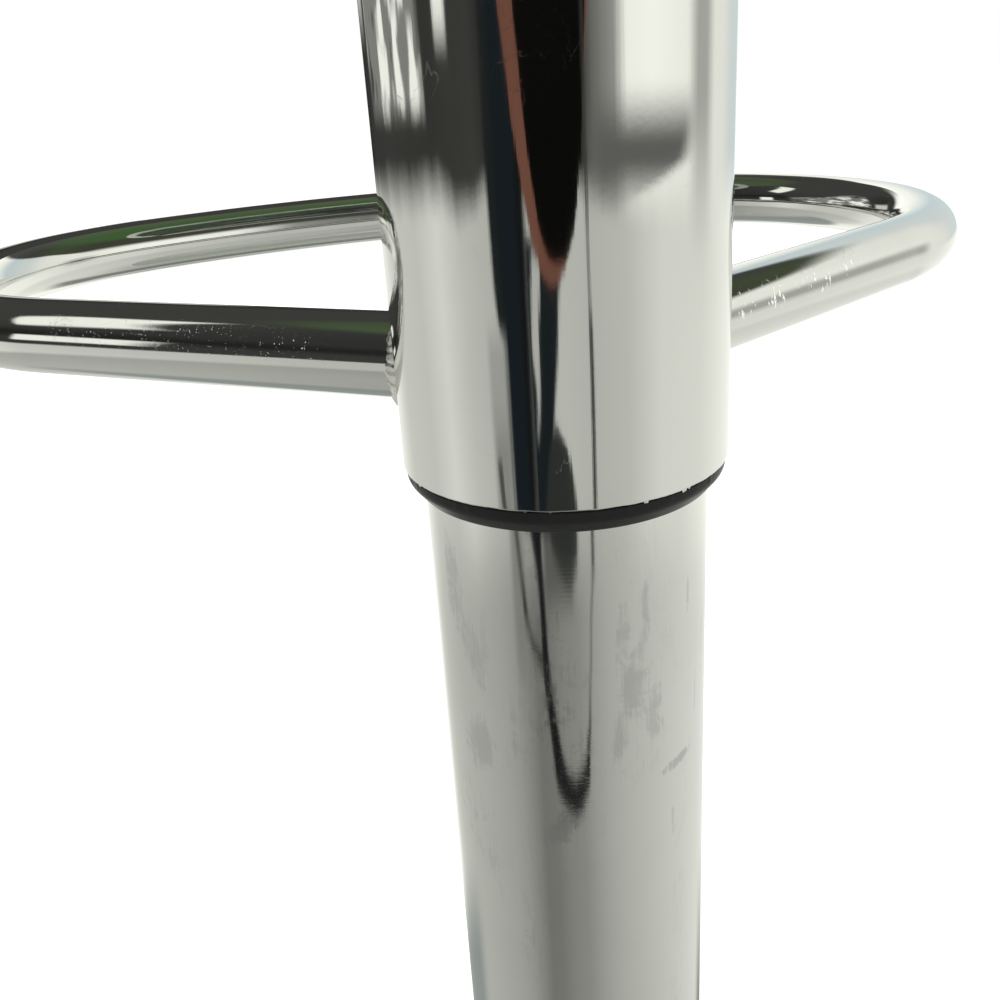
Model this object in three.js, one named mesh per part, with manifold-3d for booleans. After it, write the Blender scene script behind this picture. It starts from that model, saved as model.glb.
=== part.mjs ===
// A height-adjustable swivel counter stool: a spun trumpet base, a gas lift inside a telescoping chrome
// sleeve, a footrest loop welded to the sleeve, and a round upholstered seat with a ribbed band.
// Units are millimetres, +Z is up, the origin is on the floor under the column, and the footrest
// points along -Y. The lift stands at its full height, as it does with nobody seated.
import * as THREE from "three";
import { mergeVertices } from "three/addons/utils/BufferGeometryUtils.js";
import Module from "manifold-3d";

const wasm = await Module();
wasm.setup();

// Lift and column
const stroke = 200; // travel of the seat
const columnRadius = 25; // outer tube of the gas lift
const columnWall = 1.5;
const columnTaper = 1.4; // how much the lower end narrows inside the socket
const columnFootLip = 3.6; // how far the bottom edge turns in
const columnFootLipHeight = 2;
const columnStandoff = 2; // column's bottom edge above the ballast plate
const footPlateThickness = 4;
const tubeLength = 440; // pressure tube
const tubeRadius = 14;
const tubeWall = 1.5;
const tubeTaper = 0.6; // how much the top narrows inside the hub
const tubeCrimp = 2; // thickness of the lip that closes the bottom
const tubeCrimpBore = 8;
const tubeStandout = 1; // tube's top edge above the pan's underside
const sleeveWall = 1.5;
const sleeveEngagement = 42; // sleeve still on the column at full height
const hubClearance = 5; // column's top below the hub when the seat is down

// Sleeve bush, the black ring
const bushWall = 1.6; // wall between the column and the sleeve
const bushInsertion = 22; // length pressed into the sleeve
const bushLipHeight = 4.35; // what shows below the sleeve
const bushLipInset = 0.4; // lip's edge inside the sleeve's outer face
const bushLipBottomWall = 0.7; // wall left at the lower edge
const bushStraightShare = 0.4; // upright part of the lip

// Guide bush at the column's top
const guideLength = 75;
const guideFlange = 2.5;

// Bearing, rod and piston
const rodRadius = 5;
const rodNeckRadius = 4;
const rodClearance = 0.35; // rod neck in the plates that it passes
const rodTail = 5.3; // rod's end below the foot plate's underside
const rodHeadRadius = 6;
const rodHeadHeight = 2.2;
const clipThickness = 1.4;
const clipRadius = 9;
const clipGrooveDepth = 1;
const clipMouthAngle = Math.PI / 3;
const raceThickness = 2;
const raceRadius = 14;
const ballRadius = 2.3;
const ballPitchRadius = 10;
const ballCount = 10;
const cageThickness = 1.4;
const cageRim = 1.4; // cage past the balls' centres, beyond the ball radius
const bumpHeight = 12;
const bumpWall = 6;
const bumpWaistShare = 0.85; // wall left at the bump stop's waist
const pistonHeight = 17;
const pistonGrooveHeight = 4;
const pistonGrooveDepth = 2.4;
const sealSquash = 0.15; // ring seal's outer edge inside the tube's bore
const rodSealHeight = 4;
const rodGuideHeight = 12;
const valveHeight = 30;
const buttonStemRadius = 2;
const buttonStemLength = 26;
const buttonHeadRadius = 4.5;
const buttonDomeRadius = 6;
const buttonTravelRoom = 3.4; // under the button's head

// Base
const baseRadius = 225;
const shellWall = 1.6;
const rimTop = 20; // height of the base's outer edge
const rimBend = 8;
const neckTop = 86;
const neckBend = 3;
const flareOutShare = 0.48; // inner control point of the flare, from neck to rim
const flareLiftShare = 0.1;
const flareNeckShare = 0.22;
const socketWall = 3.5;
const ringFootHeight = 3.2;
const ringFootWidth = 18;
const ringFootInset = 1; // foot's edge inside the base's edge
const ringUpstandWall = 3.6;
const ballastThickness = 6;
const ballastGap = 2.4; // plate's edge to the shell's rolled edge
const ballastBoreRadius = 14;

// Footrest
const footTubeRadius = 8;
const footTubeWall = 1.5;
const footrestReach = 206; // column's axis to the front of the loop's centreline
const footrestBend = 70;
const footrestHalfAngle = (56.5 * Math.PI) / 180; // arm from the forward direction
const footrestHeight = 15.5; // centreline above the sleeve's lower edge
const weldBead = 2.1;
const weldSpread = 0.5; // bead's centre outside the tube's surface
const armOverlap = 4; // arm's end inside the sleeve's face before it is coped
const copeDepth = 16; // each way from the loop's centreline

// Seat carrier
const hubHeight = 40;
const hubWall = 6;
const panThickness = 2.5;
const panDepth = 25; // pan's underside to the flange's top
const panRadius = 48;
const panDraft = 2; // pan's floor is narrower by this
const flangeWidth = 160;
const flangeCorner = 18;
const boltSpacing = 126;
const earHeight = 17;
const earWidth = 14;
const earThickness = 2.5;
const earGap = 0.5; // each side of the lever's boss
const pivotOffset = 28; // lever's pin from the column's axis
const pivotHeight = 12.4; // above the pan's floor
const leverRadius = 4;
const leverBossRadius = 6.5;
const leverBossWidth = 9;
const leverInnerEnd = 6; // past the column's axis
const leverBendStart = 52;
const leverBendEnd = 76;
const leverDrop = 18;
const leverReach = 170;
const leverTiltRoom = 3; // slot above the lever
const pinRadius = 2.4;
const pinHeadRadius = 4.2;
const pinHeadThickness = 1.6;
const pinHoleReach = 28; // each way from the axis, through both ears
const gripLength = 54;
const gripRadius = 8;
const gripWaist = 1.2;
const gripTipWall = 3;
const gripTipRound = 4;
const gripWaistShare = 0.25; // narrow stretch, of the grip's length
const gripSwellShare = 0.5; // where the grip is full size, of its length

// Seat
const boardRadius = 170;
const boardThickness = 12;
const coverThickness = 1.2;
const hemWidth = 22; // vinyl turned in under the board
const cushionHeight = 77.5; // board's top to the crown
const seamHeight = 53.5; // board's top to the welt
const seamSpread = 3.5; // welt's seam outside the covered board
const shoulderBulge = 5; // side's widest point outside the seam
const shoulderShares = [0.5, 0.75]; // heights between the band and the seam: widest point, and the next
const shoulderFallShare = 0.67; // bulge left at the second point
const crownShare = 0.55; // part of the crown's fall that grows with the square of the radius
const crownPowers = [2, 6]; // round in the middle, steep at the seam
const bandHeight = 46;
const bandThickness = 1.2;
const bandGap = 4.6; // band's inner face outside the covered board
const bandLipWidth = 20;
const ribCount = 3;
const ribDepth = 3.6;
const ribMargin = 5; // plain strip above and below the ribs
const weltRadius = 3;
const boltRadius = 4;
const boltLength = 14; // below the head
const boltHeadRadius = 7;
const boltHeadHeight = 5.3;
const boltClearance = 0.4;
const washerRadius = 9;
const washerThickness = 1.6;
const teeBarrelWall = 1.1;
const teeFlangeRadius = 9.5;
const teeFlangeThickness = 1.5;
const teeLength = 9.5;
const bandScrewRadius = 1.8;
const bandScrewHeadRadius = 3.6;
const bandScrewHeadHeight = 2.2;
const bandScrewLength = 11;
const bandScrewHeadEdgeShare = 0.67; // upright part of the head's edge
const bandScrewHeadFlatShare = 0.5; // flat middle of the head

// Fits
const seatGap = 0.3; // between pieces that touch
const runningGap = 0.2; // radial, between pieces that slide or turn
const overrun = 2; // how far a cutting shape runs past what it cuts

// Facets round the axis, and points along a curve
const wideSides = 36;
const tubeSides = 28;
const smallSides = 20;
const tinySides = 10;
const sweptSides = 12;
const rodSides = 8;
const foamSides = wideSides / 2;
const ballSides = 6;
const ballRings = 4;
const boltHeadSides = 6;
const beadSides = 5;
const weltSides = 6;
const rimSteps = 2;
const flareSteps = 8;
const roundSteps = 3;
const cornerSteps = 6;
const bendSteps = 12;
const frontSteps = 8;
const leverBendSteps = 8;
const crownSteps = 6;
const ribSteps = 4;

const quarterTurn = Math.PI / 2;
const halfTurn = Math.PI;
const fullTurn = halfTurn + halfTurn;

// Column, from the floor up
const ballastTop = rimTop - shellWall - ballastGap;
const ballastBottom = ballastTop - ballastThickness;
const columnBottom = ballastTop + columnStandoff;
const columnBore = columnRadius - columnWall;
const socketTop = neckTop - shellWall - seatGap;
const footBottom = columnBottom + columnFootLipHeight + seatGap;
const lowerRaceBottom = footBottom + footPlateThickness + seatGap;
const ballsBottom = lowerRaceBottom + raceThickness + seatGap;
const upperRaceBottom = ballsBottom + ballRadius + ballRadius + seatGap;
const rodShoulder = upperRaceBottom + raceThickness + seatGap;
const rodBoreRadius = rodNeckRadius + rodClearance;
const bumpTop = rodShoulder + bumpHeight;

// Carriage, from the tube's lower end up, with the seat down
const tubeBottom = bumpTop + seatGap;
const tubeTop = tubeBottom + tubeLength;
const tubeBore = tubeRadius - tubeWall;
const panBottom = tubeTop - tubeStandout;
const hubTop = panBottom - seatGap;
const hubBottom = hubTop - hubHeight;
const columnTop = hubBottom - hubClearance - guideFlange - seatGap;
const sleeveBottom = columnTop - stroke - sleeveEngagement;
const sleeveTop = panBottom - seatGap;
const bushBore = columnRadius + runningGap;
const sleeveBore = bushBore + bushWall + runningGap;
const sleeveRadius = sleeveBore + sleeveWall;
const rodSealBottom = tubeBottom + tubeCrimp + seatGap;
const rodGuideBottom = rodSealBottom + rodSealHeight + seatGap;
const panFloor = panBottom + panThickness;
const pivotZ = panFloor + pivotHeight;
const buttonTop = pivotZ - leverRadius - seatGap;
const flangeTop = panBottom + panDepth;
const flangeBottom = flangeTop - panThickness;

// Piston, standing on the rod guide at full height
const pistonBottom = rodGuideBottom + rodGuideHeight + seatGap + stroke;
const pistonTop = pistonBottom + pistonHeight;

// Seat, with the seat down
const boardBottom = flangeTop + seatGap;
const boardTop = boardBottom + boardThickness;
const hemBottom = boardBottom - seatGap - coverThickness;
const coverSide = boardRadius + seatGap + coverThickness;
const seamRadius = coverSide + seamSpread;
const bandBore = coverSide + bandGap;
const bandLipTop = hemBottom - seatGap;
const bandBottom = bandLipTop - bandThickness;
const bandTop = bandBottom + bandHeight;
const bandScrewPlace = (bandBore + bandBore - bandLipWidth) / 2;

const at = (radius, height) => new THREE.Vector2(radius, height);

// Rotates a profile of (radius, height) points, anticlockwise round its material, about +Z.
function turned(profile, sides) {
  const closes = profile[0].x > 0;
  const points = closes ? [...profile, profile[0]] : profile;
  return new THREE.LatheGeometry(points, sides).rotateX(quarterTurn);
}

function ring(inner, outer, bottom, top, sides) {
  return turned([at(inner, bottom), at(outer, bottom), at(outer, top), at(inner, top)], sides);
}

function disc(radius, bottom, top, sides) {
  return turned([at(0, bottom), at(radius, bottom), at(radius, top), at(0, top)], sides);
}

// Points of an arc in the (radius, height) plane, both ends included.
function arc(centreRadius, centreHeight, radius, from, to, steps) {
  const points = [];
  for (let i = 0; i <= steps; i++) {
    const angle = from + ((to - from) * i) / steps;
    points.push(at(centreRadius + radius * Math.cos(angle), centreHeight + radius * Math.sin(angle)));
  }
  return points;
}

// The same line moved to its left by a distance; a point on the axis stays on it.
function offsetLine(line, distance) {
  return line.map((point, i) => {
    const before = line[Math.max(i - 1, 0)];
    const after = line[Math.min(i + 1, line.length - 1)];
    const first = point.clone().sub(before).normalize();
    const second = after.clone().sub(point).normalize();
    const along = first.add(second).normalize();
    const moved = at(point.x - along.y * distance, point.y + along.x * distance);
    return point.x === 0 ? at(0, moved.y) : moved;
  });
}

// Closed profile of an even wall whose outer face is the line, with the material on the line's left.
function wallProfile(line, wall) {
  return [...offsetLine(line, wall).reverse(), ...line];
}

// A three.js geometry as a manifold-3d solid, and back.
function solid(geometry) {
  const bare = geometry.clone();
  bare.deleteAttribute("normal");
  bare.deleteAttribute("uv");
  const merged = mergeVertices(bare);
  const vertProperties = merged.attributes.position.array;
  const triVerts = new Uint32Array(merged.index.array);
  return new wasm.Manifold(new wasm.Mesh({ numProp: 3, vertProperties, triVerts }));
}

function geometryOf(body) {
  const mesh = body.getMesh();
  const geometry = new THREE.BufferGeometry();
  geometry.setAttribute("position", new THREE.BufferAttribute(mesh.vertProperties, mesh.numProp));
  geometry.setIndex(new THREE.BufferAttribute(mesh.triVerts, 1));
  geometry.computeVertexNormals();
  return geometry;
}

function join(...geometries) {
  return geometryOf(geometries.map(solid).reduce((all, next) => all.add(next)));
}

function cut(geometry, ...tools) {
  return geometryOf(tools.map(solid).reduce((left, tool) => left.subtract(tool), solid(geometry)));
}

function box(width, depth, height, x, y, z) {
  return new THREE.BoxGeometry(width, depth, height).translate(x, y, z);
}

// Places at the corners of a square, for the bolts and what they hold.
function corners(spacing) {
  const half = spacing / 2;
  return [
    [half, half],
    [-half, half],
    [-half, -half],
    [half, -half],
  ];
}

function mesh(name, geometry, color, roughness, metalness) {
  const material = new THREE.MeshStandardMaterial({ color, roughness, metalness });
  const made = new THREE.Mesh(geometry, material);
  made.name = name;
  return made;
}

const chrome = (name, geometry) => mesh(name, geometry, 0xd8d9d6, 0.08, 1);
const steel = (name, geometry) => mesh(name, geometry, 0x9a9c9e, 0.35, 1);
const paintedSteel = (name, geometry) => mesh(name, geometry, 0x1d1e20, 0.5, 0.4);
const plastic = (name, geometry) => mesh(name, geometry, 0x141414, 0.45, 0);
const rubber = (name, geometry) => mesh(name, geometry, 0x1a1a1a, 0.8, 0);
const vinyl = (name, geometry) => mesh(name, geometry, 0x39532f, 0.4, 0);

// Base

function baseShell() {
  const neckRadius = columnRadius + seatGap + socketWall + seatGap + shellWall;
  const neckBore = columnRadius + seatGap;
  const rimInside = baseRadius - rimBend;
  const flareHeight = neckTop - neckBend - rimTop;
  const rimArc = arc(rimInside, rimTop - rimBend, rimBend, 0, quarterTurn, rimSteps);
  const flare = new THREE.CubicBezierCurve(
    at(rimInside, rimTop),
    at(neckRadius + (rimInside - neckRadius) * flareOutShare, rimTop + flareHeight * flareLiftShare),
    at(neckRadius, rimTop + flareHeight * flareNeckShare),
    at(neckRadius, neckTop - neckBend),
  );
  const neckArc = arc(neckRadius - neckBend, neckTop - neckBend, neckBend, 0, quarterTurn, 1);
  const line = [
    at(baseRadius, ringFootHeight + seatGap),
    ...rimArc,
    ...flare.getPoints(flareSteps).slice(1, -1),
    ...neckArc,
    at(neckBore, neckTop),
  ];
  return chrome("base_shell", turned(wallProfile(line, shellWall), wideSides));
}

function floorRing() {
  const outer = baseRadius - ringFootInset;
  const upstand = baseRadius - shellWall - seatGap;
  const top = ballastBottom - seatGap;
  const profile = [
    at(outer - ringFootWidth, 0),
    at(outer, 0),
    at(outer, ringFootHeight),
    at(upstand, ringFootHeight),
    at(upstand, top),
    at(upstand - ringUpstandWall, top),
    at(upstand - ringUpstandWall, ringFootHeight),
    at(outer - ringFootWidth, ringFootHeight),
  ];
  return rubber("floor_ring", turned(profile, wideSides));
}

function ballastPlate() {
  const outer = baseRadius - shellWall - ballastGap;
  return paintedSteel("ballast_plate", ring(ballastBoreRadius, outer, ballastBottom, ballastTop, wideSides));
}

// Radius of the column's outer face at a height inside the socket.
function columnRadiusAt(height) {
  const share = Math.min(1, (height - columnBottom) / (socketTop - columnBottom));
  return columnRadius - columnTaper * (1 - share);
}

function baseSocket() {
  const bottom = ballastTop + seatGap;
  const outer = columnRadius + seatGap + socketWall;
  const profile = [
    at(columnRadiusAt(bottom) + seatGap, bottom),
    at(outer, bottom),
    at(outer, socketTop - neckBend),
    at(outer - neckBend, socketTop),
    at(columnRadiusAt(socketTop) + seatGap, socketTop),
  ];
  return steel("base_socket", turned(profile, tubeSides));
}

function columnTube() {
  const lipTop = columnBottom + columnFootLipHeight;
  const bottomRadius = columnRadiusAt(columnBottom);
  const lipRadius = bottomRadius - columnFootLip;
  const profile = [
    at(lipRadius, columnBottom),
    at(bottomRadius, columnBottom),
    at(columnRadius, socketTop),
    at(columnRadius, columnTop),
    at(columnBore, columnTop),
    at(columnBore, socketTop),
    at(columnRadiusAt(lipTop) - columnWall, lipTop),
    at(lipRadius, lipTop),
  ];
  return chrome("column_tube", turned(profile, tubeSides));
}

function columnFoot() {
  const outer = columnRadiusAt(footBottom) - columnWall - seatGap;
  const top = footBottom + footPlateThickness;
  return steel("column_foot", ring(rodBoreRadius, outer, footBottom, top, smallSides));
}

function guideBush() {
  const bore = tubeRadius + runningGap;
  const bottom = columnTop - guideLength;
  const outer = columnBore - seatGap;
  const flangeBottomZ = columnTop + seatGap;
  const profile = [
    at(bore, bottom),
    at(outer, bottom),
    at(outer, flangeBottomZ),
    at(columnRadius, flangeBottomZ),
    at(columnRadius, flangeBottomZ + guideFlange),
    at(bore, flangeBottomZ + guideFlange),
  ];
  return plastic("guide_bush", turned(profile, tubeSides));
}

// Bearing and rod

function race(name, bottom, bore) {
  return steel(name, ring(bore, raceRadius, bottom, bottom + raceThickness, smallSides));
}

function bearingBalls() {
  const middle = ballsBottom + ballRadius;
  const half = cageThickness / 2;
  const reach = ballRadius + cageRim;
  const cage = ring(ballPitchRadius - reach, ballPitchRadius + reach, middle - half, middle + half, smallSides);
  const balls = [];
  for (let i = 0; i < ballCount; i++) {
    const angle = (fullTurn * i) / ballCount;
    const ball = new THREE.SphereGeometry(ballRadius, ballSides, ballRings).rotateX(quarterTurn);
    balls.push(ball.translate(ballPitchRadius * Math.cos(angle), ballPitchRadius * Math.sin(angle), middle));
  }
  return steel("bearing_balls", join(cage, ...balls));
}

const clipTop = footBottom - seatGap;

function pistonRod() {
  const grooveRadius = rodNeckRadius - clipGrooveDepth;
  const grooveBottom = clipTop - clipThickness - seatGap;
  const profile = [
    at(0, footBottom - rodTail),
    at(rodNeckRadius, footBottom - rodTail),
    at(rodNeckRadius, grooveBottom),
    at(grooveRadius, grooveBottom),
    at(grooveRadius, footBottom),
    at(rodNeckRadius, footBottom),
    at(rodNeckRadius, rodShoulder),
    at(rodRadius, rodShoulder),
    at(rodRadius, pistonBottom - seatGap),
    at(rodNeckRadius, pistonBottom - seatGap),
    at(rodNeckRadius, pistonTop + seatGap),
    at(rodHeadRadius, pistonTop + seatGap),
    at(rodHeadRadius, pistonTop + seatGap + rodHeadHeight),
    at(0, pistonTop + seatGap + rodHeadHeight),
  ];
  return chrome("piston_rod", turned(profile, smallSides));
}

function rodClip() {
  const inner = rodNeckRadius - clipGrooveDepth + seatGap;
  const from = clipMouthAngle / 2;
  const to = fullTurn - from;
  const outline = new THREE.Shape();
  outline.absarc(0, 0, clipRadius, from, to, false);
  outline.absarc(0, 0, inner, to, from, true);
  outline.closePath();
  const settings = { depth: clipThickness, bevelEnabled: false, curveSegments: smallSides / 4 };
  const geometry = new THREE.ExtrudeGeometry(outline, settings);
  return steel("rod_clip", geometry.translate(0, 0, clipTop - clipThickness));
}

function bumpStop() {
  const bore = rodRadius + seatGap;
  const bottom = upperRaceBottom + raceThickness + seatGap;
  const waist = bumpWall * bumpWaistShare;
  const middle = (bottom + bumpTop) / 2;
  const profile = [
    at(bore, bottom),
    at(bore + bumpWall, bottom),
    at(bore + waist, middle),
    at(bore + bumpWall, bumpTop),
    at(bore, bumpTop),
  ];
  return rubber("bump_stop", turned(profile, smallSides));
}

function piston() {
  const bore = rodNeckRadius + seatGap;
  const outer = tubeBore - runningGap;
  const grooveMiddle = (pistonBottom + pistonTop) / 2;
  const grooveLow = grooveMiddle - pistonGrooveHeight / 2;
  const grooveHigh = grooveMiddle + pistonGrooveHeight / 2;
  const profile = [
    at(bore, pistonBottom),
    at(outer, pistonBottom),
    at(outer, grooveLow),
    at(outer - pistonGrooveDepth, grooveLow),
    at(outer - pistonGrooveDepth, grooveHigh),
    at(outer, grooveHigh),
    at(outer, pistonTop),
    at(bore, pistonTop),
  ];
  return mesh("piston", turned(profile, smallSides), 0xb6b8ba, 0.3, 1);
}

function pistonSeal() {
  const outer = tubeBore - sealSquash;
  const inner = tubeBore - runningGap - pistonGrooveDepth + seatGap;
  const middle = (pistonBottom + pistonTop) / 2;
  const half = pistonGrooveHeight / 2 - seatGap;
  return rubber("piston_seal", ring(inner, outer, middle - half, middle + half, smallSides));
}

// Gas lift, with the seat down

function pressureTube() {
  const topRadius = tubeRadius - tubeTaper;
    const profile = [
    at(tubeCrimpBore, tubeBottom),
    at(tubeRadius, tubeBottom),
    at(tubeRadius, hubBottom),
    at(topRadius, tubeTop),
    at(tubeBore, tubeTop),
    at(tubeBore, tubeBottom + tubeCrimp),
    at(tubeCrimpBore, tubeBottom + tubeCrimp),
  ];
  return paintedSteel("pressure_tube", turned(profile, tubeSides));
}

function rodSeal() {
  const top = rodSealBottom + rodSealHeight;
  return rubber("rod_seal", ring(rodRadius + runningGap, tubeBore - seatGap, rodSealBottom, top, smallSides));
}

function rodGuide() {
  const top = rodGuideBottom + rodGuideHeight;
  return plastic("rod_guide", ring(rodRadius + runningGap, tubeBore - seatGap, rodGuideBottom, top, smallSides));
}

function valveBody() {
  const bore = buttonStemRadius + runningGap;
  return steel("valve_body", ring(bore, tubeBore - seatGap, tubeTop - valveHeight, tubeTop, smallSides));
}

function releaseButton() {
  const domeCentre = buttonTop - buttonDomeRadius;
  const domeFrom = Math.acos(buttonHeadRadius / buttonDomeRadius);
  const dome = arc(0, domeCentre, buttonDomeRadius, domeFrom, quarterTurn, roundSteps);
  dome[dome.length - 1].x = 0;
  const headBottom = tubeTop + buttonTravelRoom;
  const profile = [
    at(0, headBottom - buttonStemLength),
    at(buttonStemRadius, headBottom - buttonStemLength),
    at(buttonStemRadius, headBottom),
    at(buttonHeadRadius, headBottom),
    ...dome,
  ];
  return mesh("release_button", turned(profile, tinySides), 0x9a1c17, 0.4, 0);
}

// Sleeve and footrest, with the seat down

function sleeve() {
  return chrome("sleeve", ring(sleeveBore, sleeveRadius, sleeveBottom, sleeveTop, tubeSides));
}

function sleeveBush() {
  const lipTop = sleeveBottom - seatGap;
  const lipBottom = lipTop - bushLipHeight;
  const lipRadius = sleeveRadius - bushLipInset;
  const profile = [
    at(bushBore, lipBottom),
    at(bushBore + bushLipBottomWall, lipBottom),
    at(lipRadius, lipTop - bushLipHeight * bushStraightShare),
    at(lipRadius, lipTop),
    at(bushBore + bushWall, lipTop),
    at(bushBore + bushWall, sleeveBottom + bushInsertion),
    at(bushBore, sleeveBottom + bushInsertion),
  ];
  return plastic("sleeve_bush", turned(profile, tubeSides));
}

// A swept centreline of stretches that follow each other, each with its own number of steps.
class SteppedLine extends THREE.Curve {
  constructor(stretches) {
    super();
    this.stretches = stretches;
    this.steps = stretches.reduce((sum, stretch) => sum + stretch.steps, 0);
  }

  getUtoTmapping(u) {
    return u;
  }

  getPoint(t, target = new THREE.Vector3()) {
    let left = t * this.steps;
    let index = 0;
    while (index < this.stretches.length - 1 && left > this.stretches[index].steps) {
      left -= this.stretches[index].steps;
      index += 1;
    }
    const { place, steps } = this.stretches[index];
    return target.copy(place(left / steps));
  }
}

// The loop: an arm, a bend, the front arc round the column, a bend and the other arm.
function footrestLine() {
  const centreDistance = footrestReach - footrestBend;
  const bendSide = Math.asin(footrestBend / centreDistance);
  const centreAngle = footrestHalfAngle - bendSide;
  const bendTurn = quarterTurn + bendSide;
  const armEnd = Math.sqrt(centreDistance ** 2 - footrestBend ** 2);
  const armStart = sleeveRadius - armOverlap;
  const forward = (angle, radius) => {
    return new THREE.Vector3(radius * Math.sin(angle), -radius * Math.cos(angle), 0);
  };
  const arm = (side) => (share) => {
    const radius = armStart + (armEnd - armStart) * share;
    return forward(side * footrestHalfAngle, radius);
  };
  const bend = (side) => (share) => {
    const turn = footrestHalfAngle + quarterTurn - bendTurn * share;
    return forward(side * centreAngle, centreDistance).add(forward(side * turn, footrestBend));
  };
  const front = (share) => forward(centreAngle * (1 - 2 * share), footrestReach);
  const back = (stretch) => (share) => stretch(1 - share);
  return new SteppedLine([
    { place: arm(1), steps: 1 },
    { place: bend(1), steps: bendSteps },
    { place: front, steps: frontSteps },
    { place: back(bend(-1)), steps: bendSteps },
    { place: back(arm(-1)), steps: 1 },
  ]);
}

function footrest() {
  const line = footrestLine();
  const section = new THREE.Shape().absarc(0, 0, footTubeRadius, 0, fullTurn, false);
  const bore = new THREE.Path().absarc(0, 0, footTubeRadius - footTubeWall, 0, fullTurn, true);
  section.holes.push(bore);
  const settings = {
    steps: line.steps,
    curveSegments: sweptSides / 2,
    extrudePath: line,
    bevelEnabled: false,
  };
  const tube = new THREE.ExtrudeGeometry(section, settings);
  const coped = disc(sleeveRadius + seatGap, -copeDepth, copeDepth, tubeSides);
  const inside = disc(footTubeRadius - footTubeWall, -copeDepth, copeDepth, smallSides);
  const beads = [footrestHalfAngle, -footrestHalfAngle].map((angle) => {
    const bead = new THREE.TorusGeometry(footTubeRadius + weldSpread, weldBead, beadSides, sweptSides);
    return bead.translate(0, 0, sleeveRadius).rotateX(quarterTurn).rotateZ(angle);
  });
  const hollows = [footrestHalfAngle, -footrestHalfAngle].map((angle) =>
    inside.clone().translate(0, 0, sleeveRadius).rotateX(quarterTurn).rotateZ(angle),
  );
  const welded = cut(join(tube, ...beads), ...hollows, coped);
  return chrome("footrest", welded.translate(0, 0, sleeveBottom + footrestHeight));
}

// Seat carrier, with the seat down

function taperHub() {
  const outer = tubeRadius + seatGap + hubWall;
  const share = hubHeight / (tubeTop - hubBottom);
  const profile = [
    at(tubeRadius + seatGap, hubBottom),
    at(outer, hubBottom),
    at(outer, hubTop),
    at(tubeRadius - tubeTaper * share + seatGap, hubTop),
  ];
  return steel("taper_hub", turned(profile, smallSides));
}

// A square outline with round corners, centred on the axis.
function roundedSquare(width, corner) {
  const half = width / 2;
  const inner = half - corner;
  const outline = new THREE.Shape();
  outline.absarc(inner, inner, corner, 0, quarterTurn, false);
  outline.absarc(-inner, inner, corner, quarterTurn, halfTurn, false);
  outline.absarc(-inner, -inner, corner, halfTurn, halfTurn + quarterTurn, false);
  outline.absarc(inner, -inner, corner, halfTurn + quarterTurn, fullTurn, false);
  return outline;
}

function leverEar(side) {
  const inner = leverBossWidth / 2 + earGap;
  const y = side * (inner + earThickness / 2);
  const sunk = panThickness / 2;
  const height = earHeight + sunk;
  return box(earWidth, earThickness, height, -pivotOffset, y, panFloor - sunk + height / 2);
}

function mountPlate() {
  const outline = roundedSquare(flangeWidth, flangeCorner);
  outline.holes.push(new THREE.Path().absarc(0, 0, panRadius - panThickness, 0, fullTurn, true));
  const settings = { depth: panThickness, bevelEnabled: false, curveSegments: cornerSteps };
  const flange = new THREE.ExtrudeGeometry(outline, settings).translate(0, 0, flangeBottom);
  const floorRadius = panRadius - panDraft;
  const hole = tubeRadius + seatGap;
  const line = [
    at(hole, panBottom),
    at(floorRadius, panBottom),
    at(panRadius, panBottom + panDraft),
    at(panRadius, flangeTop),
  ];
  const pan = turned(wallProfile(line, panThickness), tubeSides);
  const pinHole = disc(pinRadius + runningGap, -pinHoleReach, pinHoleReach, tinySides);
  pinHole.rotateX(quarterTurn).translate(-pivotOffset, 0, pivotZ);
  const slotBottom = pivotZ - leverRadius - seatGap;
  const slotTop = pivotZ + leverRadius + leverTiltRoom;
  const slotWidth = leverBossWidth + earGap + earGap;
  const slotHeight = slotTop - slotBottom;
  const slot = box(panRadius, slotWidth, slotHeight, -panRadius, 0, slotBottom + slotHeight / 2);
  const bolts = corners(boltSpacing).map(([x, y]) => {
    const tool = disc(boltRadius + boltClearance, flangeBottom - overrun, flangeTop + overrun, tinySides);
    return tool.translate(x, y, 0);
  });
  const plate = join(flange, pan, leverEar(1), leverEar(-1));
  return paintedSteel("mount_plate", cut(plate, pinHole, slot, ...bolts));
}

function leverPin() {
  const reach = leverBossWidth / 2 + earGap + earThickness + seatGap;
  const end = reach + pinHeadThickness;
  const profile = [
    at(0, -end),
    at(pinHeadRadius, -end),
    at(pinHeadRadius, -reach),
    at(pinRadius, -reach),
    at(pinRadius, reach),
    at(pinHeadRadius, reach),
    at(pinHeadRadius, end),
    at(0, end),
  ];
  const geometry = turned(profile, tinySides).rotateX(quarterTurn);
  return steel("lever_pin", geometry.translate(-pivotOffset, 0, pivotZ));
}

function leverLine() {
  const low = pivotZ - leverDrop;
  const middle = -(leverBendStart + leverBendEnd) / 2;
  const bend = new THREE.CubicBezierCurve3(
    new THREE.Vector3(-leverBendStart, 0, pivotZ),
    new THREE.Vector3(middle, 0, pivotZ),
    new THREE.Vector3(middle, 0, low),
    new THREE.Vector3(-leverBendEnd, 0, low),
  );
  const inner = new THREE.LineCurve3(new THREE.Vector3(leverInnerEnd, 0, pivotZ), bend.v0);
  const outer = new THREE.LineCurve3(bend.v3, new THREE.Vector3(-leverReach, 0, low));
  return new SteppedLine([
    { place: (share) => inner.getPoint(share), steps: 1 },
    { place: (share) => bend.getPoint(share), steps: leverBendSteps },
    { place: (share) => outer.getPoint(share), steps: 1 },
  ]);
}

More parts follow.
